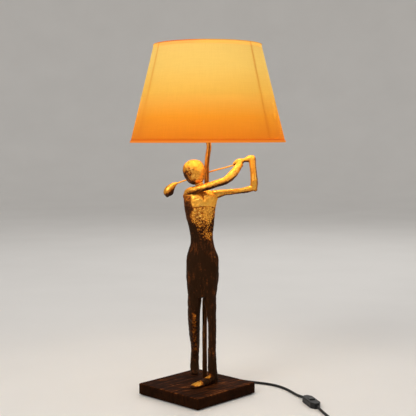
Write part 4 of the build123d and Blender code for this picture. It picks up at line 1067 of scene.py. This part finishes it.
def hem(name, node, bottom):
    """Rolled tape: outside leg, round the edge, inside leg behind the ring."""
    NAh = 720
    z_e = SZ0 if bottom else SZ1
    sgn = 1 if bottom else -1
    top_h = 4.2 if bottom else 1.1               # how far the outside leg reaches over the cloth
    out_, inn = 0.42, -3.9
    prof = [(out_ - 0.30, top_h + 0.2), (out_, top_h), (out_ + 0.02, top_h * 0.7), (out_ + 0.05, top_h * 0.35), (out_ - 0.08, 0.55), (out_ - 0.45, 0.06)]
    prof += [(-1.6, -0.10), (inn + 0.5, 0.10), (inn + 0.1, 0.7), (inn, 2.0), (inn + 0.1, 3.7), (inn + 0.9, 4.5), (-1.5, 5.6), (-1.25, 6.6)]
    prof += [(-0.95, 6.6), (-1.15, 5.6), (inn + 1.2, 4.0), (inn + 0.5, 3.4), (inn + 0.4, 2.0), (inn + 0.5, 1.1), (-2.6, 0.42), (-1.0, 0.40), (-0.35, 0.8), (-0.25, 1.6), (-0.22, top_h)]
    n = len(prof)
    V, C = [], []
    for i in range(NAh):
        q = 360.0 * i / NAh
        pn = np.array([[math.cos(math.radians(q)) * 90, math.sin(math.radians(q)) * 90, z_e]])
        w1 = float(fbm(pn, 16.0, 2, 3.3)[0]) * 0.22
        w2 = float(fbm(pn, 7.0, 2, 9.3)[0]) * 0.10
        edge_l = math.exp(-(((q + 38.0 + 180) % 360 - 180) / 30.0) ** 4)
        for j, (o_, h_) in enumerate(prof):
            hh = h_ + (w1 if j < 2 or 10 < j < 16 else 0)
            zz = z_e + sgn * hh
            r_ = SR0 - SLOPE * (zz - SZ0) + o_ + (w2 if j < 6 else 0)
            xx, yy = az_xy(q, r_)
            V.append((xx, yy, zz))
            # painted light: on the bottom hem a painted highlight along the edge under the painted shade of the doubled
            # seam; on the top hem less painted glow in a stretch around -38°
            if bottom:
                lit_ = 0.02 if j < 2 else (0.34 if j < 6 else 0.12)      # a bright edge under a darker seam
            else:
                lit_ = 0.72 - 0.62 * edge_l
            C.append((math.radians(q) * 0.127, hh * MM, lit_))
    F = [((i * n + j), ((i + 1) % NAh) * n + j, ((i + 1) % NAh) * n + (j + 1) % n, i * n + (j + 1) % n)
         for i in range(NAh) for j in range(n)]
    if bottom:
        F = [f[::-1] for f in F]
    o = link(name, mesh_of(np.array(V) * MM, F, name), M["hem"])
    attr3(o.data, "cloth", C)
    # painted shade tint over the whole top hem
    attr(o.data, "wire", np.full(len(V), 0.0 if bottom else 0.30))
    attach(o, "shade")
    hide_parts(node)
    return o


hem_b = hem("shade_hem_lower_rolled", "shade_hem_bottom", True)
hem_t = hem("shade_hem_upper_rolled", "shade_hem_top", False)

# ---------------------------------------------------------------------------
# surroundings: pale floor that rises into a wall far away, soft light
# ---------------------------------------------------------------------------
prof = [(0.0, 0.0), (0.6, 0.0), (1.5, 0.0), (3.0, 0.0), (5.0, 0.0)]
for k_ in range(1, 13):
    q = math.radians(90 * k_ / 12)
    prof.append((5.0 + 2.5 * math.sin(q), 2.5 - 2.5 * math.cos(q)))
prof += [(7.5, 4.0), (7.5, 6.5)]
V = [(0, 0, 0)]
SEGF = 96
for r_, z_ in prof[1:]:
    for j in range(SEGF):
        q = 2 * math.pi * j / SEGF
        V.append((r_ * math.cos(q), r_ * math.sin(q), z_))
F = [(0, 1 + j, 1 + (j + 1) % SEGF) for j in range(SEGF)]
for i in range(len(prof) - 2):
    for j in range(SEGF):
        jj = (j + 1) % SEGF
        F.append((1 + i * SEGF + j, 1 + (i + 1) * SEGF + j, 1 + (i + 1) * SEGF + jj, 1 + i * SEGF + jj))
k = Mat("floor_pale")
fn = k.noise(3.0, 3, 0.5)
k.set(Base_Color=k.mix(k.remap(fn, 0.3, 0.7, 0, 1), (0.82, 0.805, 0.785), (0.85, 0.835, 0.815)), Roughness=0.7)
floor = link("floor", mesh_of(V, F, "floor"), k.m)

w = bpy.data.worlds.new("world")
bpy.context.scene.world = w
w.use_nodes = True
bg = w.node_tree.nodes["Background"]
bg.inputs["Color"].default_value = (1.0, 0.985, 0.965, 1)
bg.inputs["Strength"].default_value = 0.54


def area(name, loc, target, size, power, color):
    l = bpy.data.lights.new(name, "AREA")
    l.shape = "DISK"
    l.size = size
    l.energy = power
    l.color = color
    o = bpy.data.objects.new(name, l)
    COL.objects.link(o)
    o.location = loc
    o.rotation_mode = "QUATERNION"
    o.rotation_quaternion = (Vector(target) - Vector(loc)).to_track_quat("-Z", "Y")
    return o


area("key", (-1.5, -1.9, 2.1), (0, 0, 0.3), 1.5, 33, (1.0, 0.97, 0.93))
area("fill", (2.3, -1.2, 1.5), (0, 0, 0.3), 1.8, 8, (0.97, 0.98, 1.0))
area("back", (0.6, 2.4, 2.2), (0, 0, 0.35), 1.6, 16, (1.0, 0.98, 0.96))

pl = bpy.data.lights.new("lamp_light", "POINT")
pl.energy = 28.5
pl.color = (1.0, 0.76, 0.46)
pl.shadow_soft_size = 0.0308
po = bpy.data.objects.new("lamp_light", pl)
COL.objects.link(po)
po.location = (0, 0, 0.6157)
po.visible_camera = False
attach(po, "bulb")
# the light that leaves the shade's open underside
down = area("lamp_down", (0, 0, 0.4845), (0, 0, 0), 0.27, 0.32, (1.0, 0.79, 0.51))
down.visible_camera = False
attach(down, "shade")

sc = bpy.context.scene
sc.view_settings.view_transform = "Standard"
sc.view_settings.look = "None"
sc.view_settings.exposure = 0.0
sc.view_settings.gamma = 1.0
